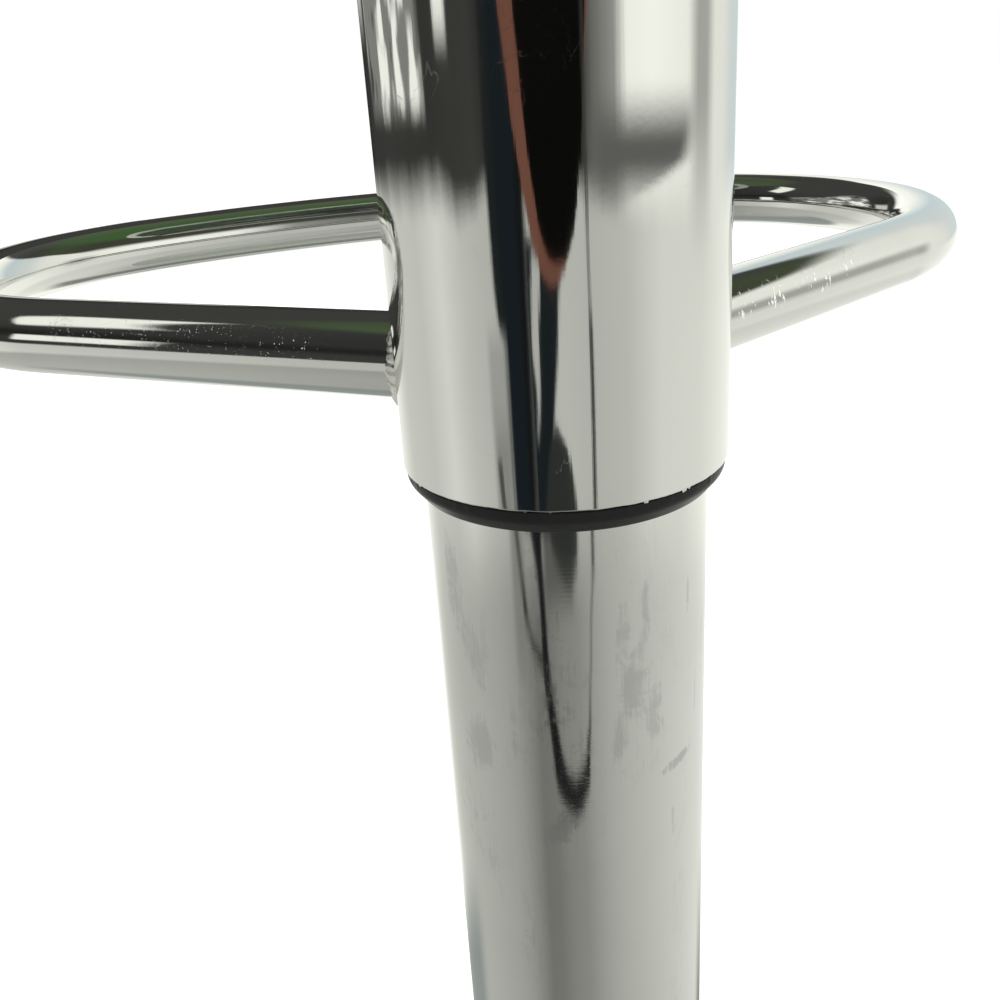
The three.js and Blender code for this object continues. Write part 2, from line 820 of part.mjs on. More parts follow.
function lever() {
  const section = new THREE.Shape().absarc(0, 0, leverRadius, 0, fullTurn, false);
  const line = leverLine();
  const settings = {
    steps: line.steps,
    curveSegments: rodSides / 2,
    extrudePath: line,
    bevelEnabled: false,
  };
  const rod = new THREE.ExtrudeGeometry(section, settings);
  const half = leverBossWidth / 2;
  const boss = disc(leverBossRadius, -half, half, smallSides);
  const bore = disc(pinRadius + runningGap, -half - overrun, half + overrun, tinySides);
  const place = (geometry) => geometry.rotateX(quarterTurn).translate(-pivotOffset, 0, pivotZ);
  return chrome("lever", cut(join(rod, place(boss)), place(bore)));
}

function leverGrip() {
  const bore = leverRadius + seatGap;
  const tip = gripTipWall + seatGap;
  const flat = gripRadius - gripTipRound;
  const end = arc(flat, gripLength - gripTipRound, gripTipRound, 0, quarterTurn, roundSteps);
  const profile = [
    at(bore, 0),
    at(gripRadius - gripWaist, 0),
    at(gripRadius - gripWaist, gripLength * gripWaistShare),
    at(gripRadius, gripLength * gripSwellShare),
    ...end,
    at(0, gripLength),
    at(0, gripLength - tip),
    at(bore, gripLength - tip),
  ];
  const start = profile.length - 2;
  const ordered = [...profile.slice(start), ...profile.slice(0, start)];
  const geometry = turned(ordered, smallSides).rotateY(-quarterTurn);
  const x = -leverReach - tip + gripLength;
  return plastic("lever_grip", geometry.translate(x, 0, pivotZ - leverDrop));
}

// Seat, with the seat down

function teeRadius() {
  return boltRadius + boltClearance + teeBarrelWall;
}

function seatBoard() {
  const board = disc(boardRadius, boardBottom, boardTop, wideSides);
  const low = boardBottom - overrun;
  const high = boardTop + overrun;
  const barrels = corners(boltSpacing).map(([x, y]) =>
    disc(teeRadius() + seatGap, low, high, tinySides).translate(x, y, 0),
  );
  const recess = boardTop - teeFlangeThickness - seatGap;
  const flanges = corners(boltSpacing).map(([x, y]) =>
    disc(teeFlangeRadius + seatGap, recess, high, tinySides).translate(x, y, 0),
  );
  const screws = bandScrewAngles().map((angle) => {
    const tool = disc(bandScrewRadius + seatGap, low, boardTop - overrun, tinySides);
    return tool.translate(bandScrewPlace, 0, 0).rotateZ(angle);
  });
  const geometry = cut(board, ...barrels, ...flanges, ...screws);
  return mesh("seat_board", geometry, 0x2c3d27, 0.7, 0);
}

function teeNut(index, x, y) {
  const bore = boltRadius + boltClearance;
  const flangeLow = boardTop - teeFlangeThickness;
  const profile = [
    at(bore, boardTop - teeLength),
    at(teeRadius(), boardTop - teeLength),
    at(teeRadius(), flangeLow),
    at(teeFlangeRadius, flangeLow),
    at(teeFlangeRadius, boardTop),
    at(bore, boardTop),
  ];
  return steel(`tee_nut_${index}`, turned(profile, tinySides).translate(x, y, 0));
}

const washerTop = flangeBottom - seatGap;
const boltHeadTop = washerTop - washerThickness - seatGap;

function boltWasher(index, x, y) {
  const low = washerTop - washerThickness;
  const geometry = ring(boltRadius + boltClearance, washerRadius, low, washerTop, tinySides);
  return steel(`bolt_washer_${index}`, geometry.translate(x, y, 0));
}

function seatBolt(index, x, y) {
  const head = disc(boltHeadRadius, boltHeadTop - boltHeadHeight, boltHeadTop, boltHeadSides);
  const shank = disc(boltRadius, boltHeadTop - boltHeadHeight / 2, boltHeadTop + boltLength, tinySides);
  return steel(`seat_bolt_${index}`, join(head, shank).translate(x, y, 0));
}

// Side of the cushion from the board up to the seam, then the crowned top to the axis.
function coverLine() {
  const seamZ = boardTop + seamHeight;
  const crown = boardTop + cushionHeight;
  const bandInside = bandBore - seatGap;
  const shoulderAt = (share) => bandTop + (seamZ - bandTop) * share;
  const side = [
    at(coverSide - hemWidth, hemBottom),
    at(coverSide, hemBottom),
    at(coverSide, boardTop),
    at(bandInside, (boardTop + bandTop) / 2),
    at(bandInside, bandTop),
    at(seamRadius + shoulderBulge, shoulderAt(shoulderShares[0])),
    at(seamRadius + shoulderBulge * shoulderFallShare, shoulderAt(shoulderShares[1])),
    at(seamRadius, seamZ),
  ];
  const top = [];
  for (let i = 1; i <= crownSteps; i++) {
    const share = 1 - i / crownSteps;
    const [even, steep] = crownPowers.map((power) => share ** power);
    const fall = crownShare * even + (1 - crownShare) * steep;
    top.push(at(seamRadius * share, seamZ + (crown - seamZ) * (1 - fall)));
  }
  return [...side, ...top];
}

function seatCover() {
  return vinyl("seat_cover", screwed(turned(wallProfile(coverLine(), coverThickness), wideSides)));
}

function seatFoam() {
  const inside = offsetLine(coverLine(), coverThickness + seatGap).slice(2);
  const bottom = boardTop + seatGap;
  const radius = boardRadius - seatGap;
  const profile = [at(0, bottom), at(radius, bottom), ...inside.slice(1)];
  return mesh("seat_foam", turned(profile, foamSides), 0xe8dfc2, 0.95, 0);
}

// The piping lies in the corner outside the seam, against the cover.
function seatWelt() {
  const shift = (weltRadius + seatGap) * Math.SQRT1_2;
  const geometry = new THREE.TorusGeometry(seamRadius + shift, weltRadius, weltSides, wideSides);
  return vinyl("seat_welt", geometry.translate(0, 0, boardTop + seamHeight + shift));
}

function bandScrewAngles() {
  return [0, 1, 2, 3].map((i) => quarterTurn * i);
}

// Cuts the band screws' holes through a piece under the board.
function screwed(geometry) {
  const tools = bandScrewAngles().map((angle) => {
    const low = bandBottom - overrun;
    const tool = disc(bandScrewRadius + seatGap, low, boardBottom, tinySides);
    return tool.translate(bandScrewPlace, 0, 0).rotateZ(angle);
  });
  return cut(geometry, ...tools);
}

function seatBand() {
  const outer = bandBore + bandThickness;
  const ribRoom = bandHeight - ribMargin - ribMargin;
  const ribPitch = ribRoom / ribCount;
  const line = [at(bandBore - bandLipWidth, bandBottom), at(outer, bandBottom)];
  for (let rib = 0; rib < ribCount; rib++) {
    const start = bandBottom + ribMargin + ribPitch * rib;
    for (let i = 0; i < ribSteps; i++) {
      const share = i / ribSteps;
      line.push(at(outer + ribDepth * Math.sin(halfTurn * share), start + ribPitch * share));
    }
  }
  line.push(at(outer, bandTop - ribMargin), at(outer, bandTop));
  const inner = [at(bandBore, bandTop), at(bandBore, bandLipTop), at(bandBore - bandLipWidth, bandLipTop)];
  return chrome("seat_band", screwed(turned([...line, ...inner], wideSides)));
}

function bandScrew(index, angle) {
  const headTop = bandBottom - seatGap;
  const profile = [
    at(0, headTop - bandScrewHeadHeight),
    at(bandScrewHeadRadius * bandScrewHeadFlatShare, headTop - bandScrewHeadHeight),
    at(bandScrewHeadRadius, headTop - bandScrewHeadHeight * (1 - bandScrewHeadEdgeShare)),
    at(bandScrewHeadRadius, headTop),
    at(bandScrewRadius, headTop),
    at(bandScrewRadius, headTop + bandScrewLength),
    at(0, headTop + bandScrewLength),
  ];
  const geometry = turned(profile, tinySides).translate(bandScrewPlace, 0, 0);
  return steel(`band_screw_${index}`, geometry.rotateZ(angle));
}

function baseGroup() {
  return new THREE.Group().add(
    baseShell(),
    floorRing(),
    ballastPlate(),
    baseSocket(),
    columnTube(),
    columnFoot(),
    guideBush(),
    race("bearing_lower_race", lowerRaceBottom, rodNeckRadius + rodClearance + seatGap),
  );
}

function rodGroup() {
  return new THREE.Group().add(
    bearingBalls(),
    race("bearing_upper_race", upperRaceBottom, rodBoreRadius),
    pistonRod(),
    piston(),
    pistonSeal(),
    rodClip(),
    bumpStop(),
  );
}

function carriageGroup() {
  const group = new THREE.Group();
  group.add(pressureTube(), rodSeal(), rodGuide(), valveBody(), releaseButton(), taperHub());
  group.add(sleeve(), sleeveBush(), footrest());
  group.add(mountPlate(), leverPin(), lever(), leverGrip());
  group.add(seatBoard(), seatFoam(), seatCover(), seatWelt(), seatBand());
  corners(boltSpacing).forEach(([x, y], i) => {
    group.add(teeNut(i + 1, x, y), boltWasher(i + 1, x, y), seatBolt(i + 1, x, y));
  });
  bandScrewAngles().forEach((angle, i) => group.add(bandScrew(i + 1, angle)));
  group.position.z = stroke;
  return group;
}

const stool = new THREE.Group();
stool.add(baseGroup(), rodGroup(), carriageGroup());

export default stool;
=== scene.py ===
"""Looks of a height-adjustable swivel counter stool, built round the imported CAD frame.

Lengths in the helpers are millimetres unless a name ends in _m; Blender's own units are metres.
"""

from math import asin, atan2, cos, hypot, pi, radians, sin, sqrt

import bmesh
import bpy
import numpy as np
from mathutils import Matrix, Vector
from mathutils import noise as field
from mathutils.bvhtree import BVHTree

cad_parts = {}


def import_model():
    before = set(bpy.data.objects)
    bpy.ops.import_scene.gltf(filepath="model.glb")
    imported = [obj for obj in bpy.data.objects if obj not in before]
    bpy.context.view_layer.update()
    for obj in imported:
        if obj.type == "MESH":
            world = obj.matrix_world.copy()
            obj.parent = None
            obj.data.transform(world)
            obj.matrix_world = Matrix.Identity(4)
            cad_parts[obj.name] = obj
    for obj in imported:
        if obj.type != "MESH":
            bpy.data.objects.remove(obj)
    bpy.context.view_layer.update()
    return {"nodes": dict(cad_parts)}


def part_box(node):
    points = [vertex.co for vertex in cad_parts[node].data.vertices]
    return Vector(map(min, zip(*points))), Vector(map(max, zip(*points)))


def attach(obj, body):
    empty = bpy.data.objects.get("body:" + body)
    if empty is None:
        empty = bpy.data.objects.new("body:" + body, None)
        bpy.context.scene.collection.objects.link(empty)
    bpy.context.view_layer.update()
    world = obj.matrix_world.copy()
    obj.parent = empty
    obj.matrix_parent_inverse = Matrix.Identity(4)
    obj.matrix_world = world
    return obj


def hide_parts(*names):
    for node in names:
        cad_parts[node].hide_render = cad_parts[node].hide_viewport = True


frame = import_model()

MM = 0.001
UP = Vector((0, 0, 1))


def box(node):
    """Lowest and highest corner of a CAD node, in mm."""
    low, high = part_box(node)
    return low / MM, high / MM


SLEEVE_LOW, SLEEVE_HIGH = box("sleeve")
SLEEVE_RADIUS = SLEEVE_HIGH.x
SLEEVE_EDGE = SLEEVE_LOW.z

# Camera, as fitted to the photograph's outlines

CAMERA_DISTANCE = 180.009
CAMERA_HEIGHT = 65.690  # above the sleeve's lower edge
CAMERA_YAW = -0.0665
CAMERA_PITCH = 0.39455
CAMERA_ROLL = -0.06505
CAMERA_BEARING = radians(167.062)  # turns the view round the stool
LENS = 38.744
SENSOR = 36


def place_camera():
    data = bpy.data.cameras.new("camera")
    data.sensor_width = SENSOR
    data.lens = LENS
    data.clip_start = 0.01
    data.clip_end = 50
    camera = bpy.data.objects.new("camera", data)
    bpy.context.scene.collection.objects.link(camera)
    forward = Vector((
        sin(CAMERA_YAW) * cos(CAMERA_PITCH),
        cos(CAMERA_YAW) * cos(CAMERA_PITCH),
        -sin(CAMERA_PITCH),
    ))
    level = Vector((cos(CAMERA_YAW), -sin(CAMERA_YAW), 0))
    upright = level.cross(forward)
    right = level * cos(CAMERA_ROLL) + upright * sin(CAMERA_ROLL)
    top = upright * cos(CAMERA_ROLL) - level * sin(CAMERA_ROLL)
    turn = Matrix.Rotation(CAMERA_BEARING, 3, "Z")
    place = turn @ Vector((0, -CAMERA_DISTANCE, CAMERA_HEIGHT))
    place.z += SLEEVE_EDGE
    axes = Matrix((turn @ right, turn @ top, turn @ -forward)).transposed()
    camera.matrix_world = Matrix.Translation(place * MM) @ axes.to_4x4()
    bpy.context.scene.camera = camera
    return camera


camera = place_camera()

# Node helpers


class Nodes:
    """A node tree with short ways to add what the materials and the world need."""

    def __init__(self, tree):
        self.tree = tree

    def new(self, kind, **settings):
        node = self.tree.nodes.new(kind)
        for name, value in settings.items():
            setattr(node, name, value)
        return node

    def set(self, socket, value):
        if isinstance(value, bpy.types.NodeSocket):
            self.tree.links.new(value, socket)
        else:
            socket.default_value = value

    def math(self, operation, a, b=None, c=None):
        node = self.new("ShaderNodeMath", operation=operation)
        for socket, value in zip(node.inputs, (a, b, c)):
            if value is not None:
                self.set(socket, value)
        return node.outputs[0]

    def step(self, value, low, high, bottom=0.0, top=1.0, smooth=True):
        """Goes from bottom to top as value goes from low to high."""
        node = self.new("ShaderNodeMapRange")
        node.interpolation_type = "SMOOTHSTEP" if smooth else "LINEAR"
        for socket, given in zip(node.inputs, (value, low, high, bottom, top)):
            self.set(socket, given)
        return node.outputs[0]

    def mix(self, share, a, b, blend="MIX"):
        node = self.new("ShaderNodeMix", data_type="RGBA", blend_type=blend)
        self.set(node.inputs["Factor"], share)
        self.set(node.inputs[6], rgba(a))
        self.set(node.inputs[7], rgba(b))
        return node.outputs[2]

    def place(self, scale=(1, 1, 1), turn=(0, 0, 0)):
        """Object coordinates, scaled per metre."""
        source = self.new("ShaderNodeTexCoord").outputs["Object"]
        mapping = self.new("ShaderNodeMapping")
        self.set(mapping.inputs["Vector"], source)
        mapping.inputs["Scale"].default_value = scale
        mapping.inputs["Rotation"].default_value = turn
        return mapping.outputs[0]

    def noise(self, vector, scale, detail=2.0, rough=0.5, distortion=0.0):
        node = self.new("ShaderNodeTexNoise")
        self.set(node.inputs["Vector"], vector)
        node.inputs["Scale"].default_value = scale
        node.inputs["Detail"].default_value = detail
        node.inputs["Roughness"].default_value = rough
        node.inputs["Distortion"].default_value = distortion
        return node.outputs["Fac"]

    def cells(self, vector, scale, feature="F1", randomness=1.0):
        node = self.new("ShaderNodeTexVoronoi", feature=feature)
        self.set(node.inputs["Vector"], vector)
        node.inputs["Scale"].default_value = scale
        node.inputs["Randomness"].default_value = randomness
        return node.outputs["Distance"]

    def bump(self, height, distance_m, strength=1.0, normal=None):
        node = self.new("ShaderNodeBump")
        self.set(node.inputs["Height"], height)
        node.inputs["Distance"].default_value = distance_m
        node.inputs["Strength"].default_value = strength
        if normal is not None:
            self.set(node.inputs["Normal"], normal)
        return node.outputs[0]


def rgba(color):
    if isinstance(color, bpy.types.NodeSocket):
        return color
    return (*color, 1.0) if len(color) == 3 else color


def new_material(name, color, metallic=0.0, roughness=0.5):
    made = bpy.data.materials.new(name)
    made.use_nodes = True
    nodes = Nodes(made.node_tree)
    shader = made.node_tree.nodes["Principled BSDF"]
    shader.inputs["Base Color"].default_value = rgba(color)
    shader.inputs["Metallic"].default_value = metallic
    shader.inputs["Roughness"].default_value = roughness
    return made, nodes, shader.inputs


# Materials

CHROME = (0.80, 0.80, 0.775)
VINYL = (0.041, 0.087, 0.029)  # green, as what the footrest mirrors where the seat is
PLY = (0.026, 0.046, 0.021)  # stained
CHROME_DULL = (0.52, 0.535, 0.53)


def near(nodes, point, reach, flat=1):
    """1 at a point of the object (mm), 0 beyond reach, which is flat times less upwards."""
    source = nodes.new("ShaderNodeTexCoord").outputs["Object"]
    away = nodes.new("ShaderNodeVectorMath", operation="SUBTRACT")
    nodes.set(away.inputs[0], source)
    away.inputs[1].default_value = [c * MM for c in point]
    scaled = nodes.new("ShaderNodeVectorMath", operation="MULTIPLY")
    nodes.set(scaled.inputs[0], away.outputs[0])
    scaled.inputs[1].default_value = (1, 1, flat)
    length = nodes.new("ShaderNodeVectorMath", operation="LENGTH")
    nodes.set(length.inputs[0], scaled.outputs[0])
    return nodes.step(length.outputs["Value"], 0.4 * reach * MM, reach * MM, 1, 0)


def highest(nodes, masks):
    total = masks[0]
    for mask in masks[1:]:
        total = nodes.math("MAXIMUM", total, mask)
    return total


def chrome(
    name, rough=0.05, dull=0.08, metal=1.0, hair=0.12, spun=0.0, drawn=0.0, turned=0.0,
    specks=(), scuffs=(), smudges=(),
):
    """Plated steel with handling haze and hairline scratches.

    spun is the strength of the grooves round the axis on a flat face.
    drawn and turned are the strengths of fine lines along and round the upright axis.
    specks and scuffs are spots (point, reach, flat) where the plating is pitted or scraped.
    smudges are dull patches (bearing, height, half width, half height, slant, share).
    """
    made, nodes, inputs = new_material(name, CHROME, metal, rough)
    plain = nodes.place()
    haze = nodes.step(nodes.noise(plain, 30, 4, 0.6, 0.4), 0.42, 0.75)
    roughness = nodes.math("MULTIPLY_ADD", haze, dull, rough)
    roughness = nodes.math("MULTIPLY_ADD", hairlines(nodes, plain), hair, roughness)
    color = nodes.mix(haze, CHROME, [0.97 * c for c in CHROME])
    normal = nodes.bump(nodes.noise(plain, 900, 2), 0.000002, 0.5)
    if spun:
        groove = grooves(nodes)
        roughness = nodes.math("MULTIPLY_ADD", groove, 0.2 * spun, roughness)
        normal = nodes.bump(groove, 0.00003 * spun, 1, normal)
        inputs["Coat Weight"].default_value = 0.8
        inputs["Coat Roughness"].default_value = 0.04
        inputs["Coat IOR"].default_value = 2.1
        inputs["Anisotropic"].default_value = 0.75
        inputs["Anisotropic Rotation"].default_value = 0.25
        round_axis = nodes.new("ShaderNodeTangent", direction_type="RADIAL", axis="Z")
        nodes.set(inputs["Tangent"], round_axis.outputs[0])
    if drawn:
        normal = nodes.bump(nodes.noise(nodes.place((1300, 1300, 16)), 1, 3, 0.65), 0.000008 * drawn, 1, normal)
    if turned:
        normal = nodes.bump(nodes.noise(nodes.place((60, 60, 3000)), 1, 3, 0.7), 0.000004 * turned, 1, normal)
    if smudges:
        mask = smudge_mask(nodes, smudges)
        roughness = nodes.math("MULTIPLY_ADD", mask, 0.3, roughness)
        color = nodes.mix(mask, color, CHROME_DULL)
    marks = []
    if specks:
        mask = speck_mask(nodes, plain, specks)
        normal = nodes.bump(nodes.math("MULTIPLY", mask, -1.0), 0.00004, 0.8, normal)
        marks.append(mask)
    if scuffs:
        scrapes = nodes.noise(nodes.place((1150, 1150, 260)), 1, 2, 0.55)
        breaks = nodes.noise(plain, 420, 2)
        scrapes = nodes.math("MULTIPLY", nodes.step(scrapes, 0.57, 0.62), nodes.step(breaks, 0.40, 0.50, 0.0, 0.8))
        marks.append(nodes.math("MULTIPLY", scrapes, highest(nodes, [near(nodes, *spot) for spot in scuffs])))
    if marks:
        mask = highest(nodes, marks)
        roughness = nodes.math("MULTIPLY_ADD", mask, 0.45, roughness)
        color = nodes.mix(mask, color, (0.92, 0.92, 0.91))
        nodes.set(inputs["Metallic"], nodes.step(mask, 0.2, 1.0, metal, 0.1))
    nodes.set(inputs["Roughness"], roughness)
    nodes.set(inputs["Base Color"], color)
    nodes.set(inputs["Normal"], normal)
    return made


def hairlines(nodes, plain):
    """Thin broken curves, as left by wiping."""
    curves = nodes.math("ABSOLUTE", nodes.math("SUBTRACT", nodes.noise(plain, 85, 3, 0.55, 1.2), 0.5))
    broken = nodes.step(nodes.noise(plain, 60, 2), 0.5, 0.62)
    return nodes.math("MULTIPLY", nodes.step(curves, 0.001, 0.006, 1, 0), broken)


def grooves(nodes):
    """Fine rings round the upright axis, of uneven depth."""
    away = nodes.new("ShaderNodeVectorMath", operation="LENGTH")
    nodes.set(away.inputs[0], nodes.place((1, 1, 0)))
    spot = nodes.new("ShaderNodeCombineXYZ")
    nodes.set(spot.inputs[0], away.outputs["Value"])
    return nodes.noise(spot.outputs[0], 900, 4, 0.7)


def speck_mask(nodes, plain, spots):
    dots = nodes.cells(plain, 3300)
    size = nodes.noise(plain, 1500, 2)
    reach = nodes.step(size, 0.5, 0.7, 0.0, 0.36)
    dot = nodes.step(nodes.math("SUBTRACT", reach, dots), 0.0, 0.07)
    few = nodes.step(nodes.noise(plain, 34, 3), 0.56, 0.7, 0.0, 0.6)
    where = highest(nodes, [few, *(near(nodes, *spot) for spot in spots)])
    return nodes.math("MULTIPLY", dot, nodes.math("MULTIPLY", where, 0.8))


def smudge_mask(nodes, smudges):
    """Dull patches by bearing round the axis (degrees) and height (mm), with streaky rims."""
    parts = nodes.new("ShaderNodeSeparateXYZ")
    nodes.set(parts.inputs[0], nodes.new("ShaderNodeTexCoord").outputs["Object"])
    turn = nodes.math("MULTIPLY", nodes.math("ARCTAN2", parts.outputs[1], parts.outputs[0]), 180 / pi)
    rise = nodes.math("MULTIPLY", parts.outputs[2], 1 / MM)
    streaks = nodes.noise(nodes.place((1300, 1300, 90)), 1, 4, 0.75)
    swirl = nodes.noise(nodes.place((170, 170, 120)), 1, 5, 0.75, 1.8)
    torn = nodes.math("ADD", nodes.math("MULTIPLY", streaks, 0.5), nodes.math("MULTIPLY", swirl, 0.6))
    broad = nodes.noise(nodes.place((34, 34, 16)), 1, 4, 0.6, 0.8)
    total = nodes.math("MULTIPLY", nodes.step(broad, 0.47, 0.66), nodes.step(torn, 0.53, 0.68, 0.0, 0.4))
    for bearing, height, wide, tall, slant, share in smudges:
        across = nodes.math("MULTIPLY_ADD", turn, 1 / wide, -bearing / wide)
        leaning = nodes.math("MULTIPLY_ADD", across, -slant, rise)
        upward = nodes.math("MULTIPLY_ADD", leaning, 1 / tall, -height / tall)
        gap = nodes.math("ADD", nodes.math("MULTIPLY", across, across), nodes.math("MULTIPLY", upward, upward))
        patch = nodes.step(nodes.math("MULTIPLY_ADD", gap, -0.2, torn), 0.38, 0.58, 0.0, share)
        total = nodes.math("MAXIMUM", total, patch)
    return total


def weld_metal():
    made, nodes, inputs = new_material("weld_metal", (0.74, 0.73, 0.69), 1.0, 0.16)
    plain = nodes.place()
    lumps = nodes.noise(plain, 700, 4, 0.6)
    nodes.set(inputs["Roughness"], nodes.step(lumps, 0.3, 0.7, 0.08, 0.28))
    nodes.set(inputs["Normal"], nodes.bump(lumps, 0.0004, 0.5))
    return made


def moulded(name, color, rough=0.42, grain=1400, depth_m=0.00003, gloss=0.5):
    """Moulded plastic or rubber with a fine texture and slight shade changes."""
    made, nodes, inputs = new_material(name, color, 0.0, rough)
    inputs["Specular IOR Level"].default_value = gloss
    plain = nodes.place()
    fine = nodes.noise(plain, grain, 3, 0.6)
    broad = nodes.noise(plain, 45, 3, 0.6)
    lighter = [1.5 * c + 0.006 for c in color]
    nodes.set(inputs["Base Color"], nodes.mix(broad, color, lighter))
    nodes.set(inputs["Roughness"], nodes.step(broad, 0.2, 0.8, rough - 0.07, rough + 0.1))
    nodes.set(inputs["Normal"], nodes.bump(fine, depth_m, 0.6))
    return made


def vinyl(name, color):
    """Grained upholstery vinyl: pebbles between fine creases, with a soft sheen."""
    made, nodes, inputs = new_material(name, color, 0.0, 0.36)
    plain = nodes.place()
    warped = nodes.noise(plain, 320, 2)
    creases = nodes.cells(plain, 620, "DISTANCE_TO_EDGE")
    pebble = nodes.step(creases, 0.0, 0.22)
    broad = nodes.noise(plain, 14, 4, 0.6)
    height = nodes.math("MULTIPLY_ADD", warped, 0.45, pebble)
    # Pebble tops lighter in broad random patches, creases left darker: random tone and painted crease shade
    lighter = [1.45 * c + 0.004 for c in color]
    nodes.set(inputs["Base Color"], nodes.mix(nodes.math("MULTIPLY", pebble, broad), color, lighter))
    nodes.set(inputs["Roughness"], nodes.step(pebble, 0.0, 1.0, 0.52, 0.33))
    nodes.set(inputs["Normal"], nodes.bump(height, 0.00016, 0.55))
    inputs["Specular IOR Level"].default_value = 0.45
    inputs["Sheen Weight"].default_value = 0.06
    return made


def plywood():
    """Stained ply: long grain on the faces, thin plies on the edge."""
    made, nodes, inputs = new_material("plywood", PLY, 0.0, 0.55)
    grain = nodes.noise(nodes.place((9, 150, 9)), 1.2, 5, 0.62, 1.2)
    pores = nodes.noise(nodes.place((60, 1700, 60)), 1, 3, 0.6)
    face = nodes.mix(nodes.step(grain, 0.32, 0.7), PLY, [2.2 * c for c in PLY])
    face = nodes.mix(nodes.step(pores, 0.56, 0.7, 0, 0.5), face, (0.006, 0.005, 0.005))
    height = nodes.new("ShaderNodeSeparateXYZ")
    nodes.set(height.inputs[0], nodes.place())
    ply = nodes.math("PINGPONG", height.outputs[2], 0.0017)
    plies = nodes.mix(nodes.step(ply, 0.0005, 0.0012), [0.6 * c for c in PLY], [3 * c for c in PLY])
    up = nodes.new("ShaderNodeNewGeometry").outputs["Normal"]
    tilt = nodes.new("ShaderNodeSeparateXYZ")
    nodes.set(tilt.inputs[0], up)
    flat = nodes.step(nodes.math("ABSOLUTE", tilt.outputs[2]), 0.4, 0.7)
    nodes.set(inputs["Base Color"], nodes.mix(flat, plies, face))
    nodes.set(inputs["Roughness"], nodes.step(grain, 0.2, 0.8, 0.52, 0.72))
    nodes.set(inputs["Normal"], nodes.bump(pores, 0.0002, 0.5))
    return made


def plated(name, color=(0.56, 0.57, 0.58), rough=0.3):
    """Zinc plate or turned steel."""
    made, nodes, inputs = new_material(name, color, 1.0, rough)
    plain = nodes.place()
    broad = nodes.noise(plain, 120, 4, 0.65)
    lines = nodes.noise(nodes.place((90, 90, 1300)), 1, 2)
    nodes.set(inputs["Roughness"], nodes.step(broad, 0.25, 0.75, rough - 0.08, rough + 0.14))
    nodes.set(inputs["Base Color"], nodes.mix(broad, color, [0.78 * c for c in color]))
    nodes.set(inputs["Normal"], nodes.bump(lines, 0.00005, 0.35))
    return made


def powder_coat(name, color=(0.018, 0.018, 0.02)):
    """Satin powder coat with a fine orange peel."""
    made, nodes, inputs = new_material(name, color, 0.0, 0.38)
    plain = nodes.place()
    peel = nodes.noise(plain, 480, 3, 0.55)
    broad = nodes.noise(plain, 22, 3, 0.6)
    nodes.set(inputs["Base Color"], nodes.mix(broad, color, [1.8 * c + 0.004 for c in color]))
    nodes.set(inputs["Roughness"], nodes.step(broad, 0.2, 0.8, 0.32, 0.5))
    nodes.set(inputs["Normal"], nodes.bump(peel, 0.0001, 0.5))
    return made


def open_foam():
    made, nodes, inputs = new_material("open_foam", (0.78, 0.70, 0.50), 0.0, 0.95)
    cell = nodes.cells(nodes.place(), 900, "DISTANCE_TO_EDGE")
    # Darker along the cell edges, the dips of the bump: painted shade in the pores
    nodes.set(inputs["Base Color"], nodes.mix(nodes.step(cell, 0, 0.25), (0.6, 0.52, 0.34), (0.8, 0.72, 0.53)))
    nodes.set(inputs["Normal"], nodes.bump(cell, 0.0006, 0.7))
    return made


SMUDGES = (
    (24, 377, 7, 11, -3, 0.6),
    (33, 366, 9, 8, -4, 0.55),
    (40, 368, 3, 9, 2, 0.4),
    (33, 346, 10, 7, 1, 0.5),
    (52, 352, 2, 8, 0, 0.35),
    (97, 370, 4, 8, 1, 0.5),
    (107, 372, 2.4, 10, 0, 0.65),
    (102, 361, 10, 10, 1, 0.6),
    (111, 354, 6, 8, 0, 0.55),
    (95, 351, 5, 7, 1, 0.5),
    (124, 340.5, 12, 1.3, 1.0, 0.8),
    (131, 373, 1.4, 5, 0, 0.5),
    (138, 352, 1.2, 6, 1, 0.4),
    (146, 361, 1.1, 8, 1, 0.45),
    (121, 328, 1.6, 5, 0, 0.5),
    (70, 332, 8, 5, 2, 0.25),
)
ARM_SPECKS = (
    ((87, -48, 414.3), 12, 3.2), ((75, -41, 414.2), 12, 3.4), ((62, -32.5, 413.9), 13, 3.0), ((46, -21, 412.9), 12, 3.4),
)
ARM_SCUFFS = (((-40, -17, 413.6), 9, 2.4), ((-50, -24, 413.2), 11, 2.8), ((-62, -32, 413.0), 10, 2.8), ((-74, -40, 414), 7, 2.8))

M_SLEEVE = chrome("chrome_sleeve", 0.035, 0.04, drawn=0.55)
M_COLUMN = chrome("chrome_column", 0.05, 0.05, drawn=0.4, turned=0.4, smudges=SMUDGES)
M_FOOTREST = chrome("chrome_footrest", 0.04, 0.05, specks=ARM_SPECKS, scuffs=ARM_SCUFFS)
M_BASE = chrome("chrome_base", 0.2, 0.05, metal=0.62, hair=0.0, spun=1.0)
M_TRIM = chrome("chrome_trim", 0.06, 0.08)
M_WELD = weld_metal()
M_RING = moulded("ring_plastic", (0.005, 0.005, 0.005), 0.3, 1100, 0.00001, 0.13)
M_GRIP = moulded("grip_plastic", (0.012, 0.012, 0.012), 0.5, 1700, 0.00006)
M_RED = moulded("red_plastic", (0.35, 0.02, 0.015), 0.35)
M_RUBBER = moulded("rubber", (0.016, 0.016, 0.016), 0.7, 900, 0.00006)
M_VINYL = vinyl("seat_vinyl", VINYL)
M_WELT = vinyl("welt_vinyl", [0.8 * c for c in VINYL])
M_STITCH = moulded("stitch_thread", (0.06, 0.11, 0.05), 0.6, 5000)
M_PLY = plywood()
M_STEEL = plated("zinc_plate")
M_TURNED = plated("turned_steel", (0.62, 0.62, 0.61), 0.2)
M_PAINT = powder_coat("satin_black")
M_FOAM = open_foam()

# Mesh helpers


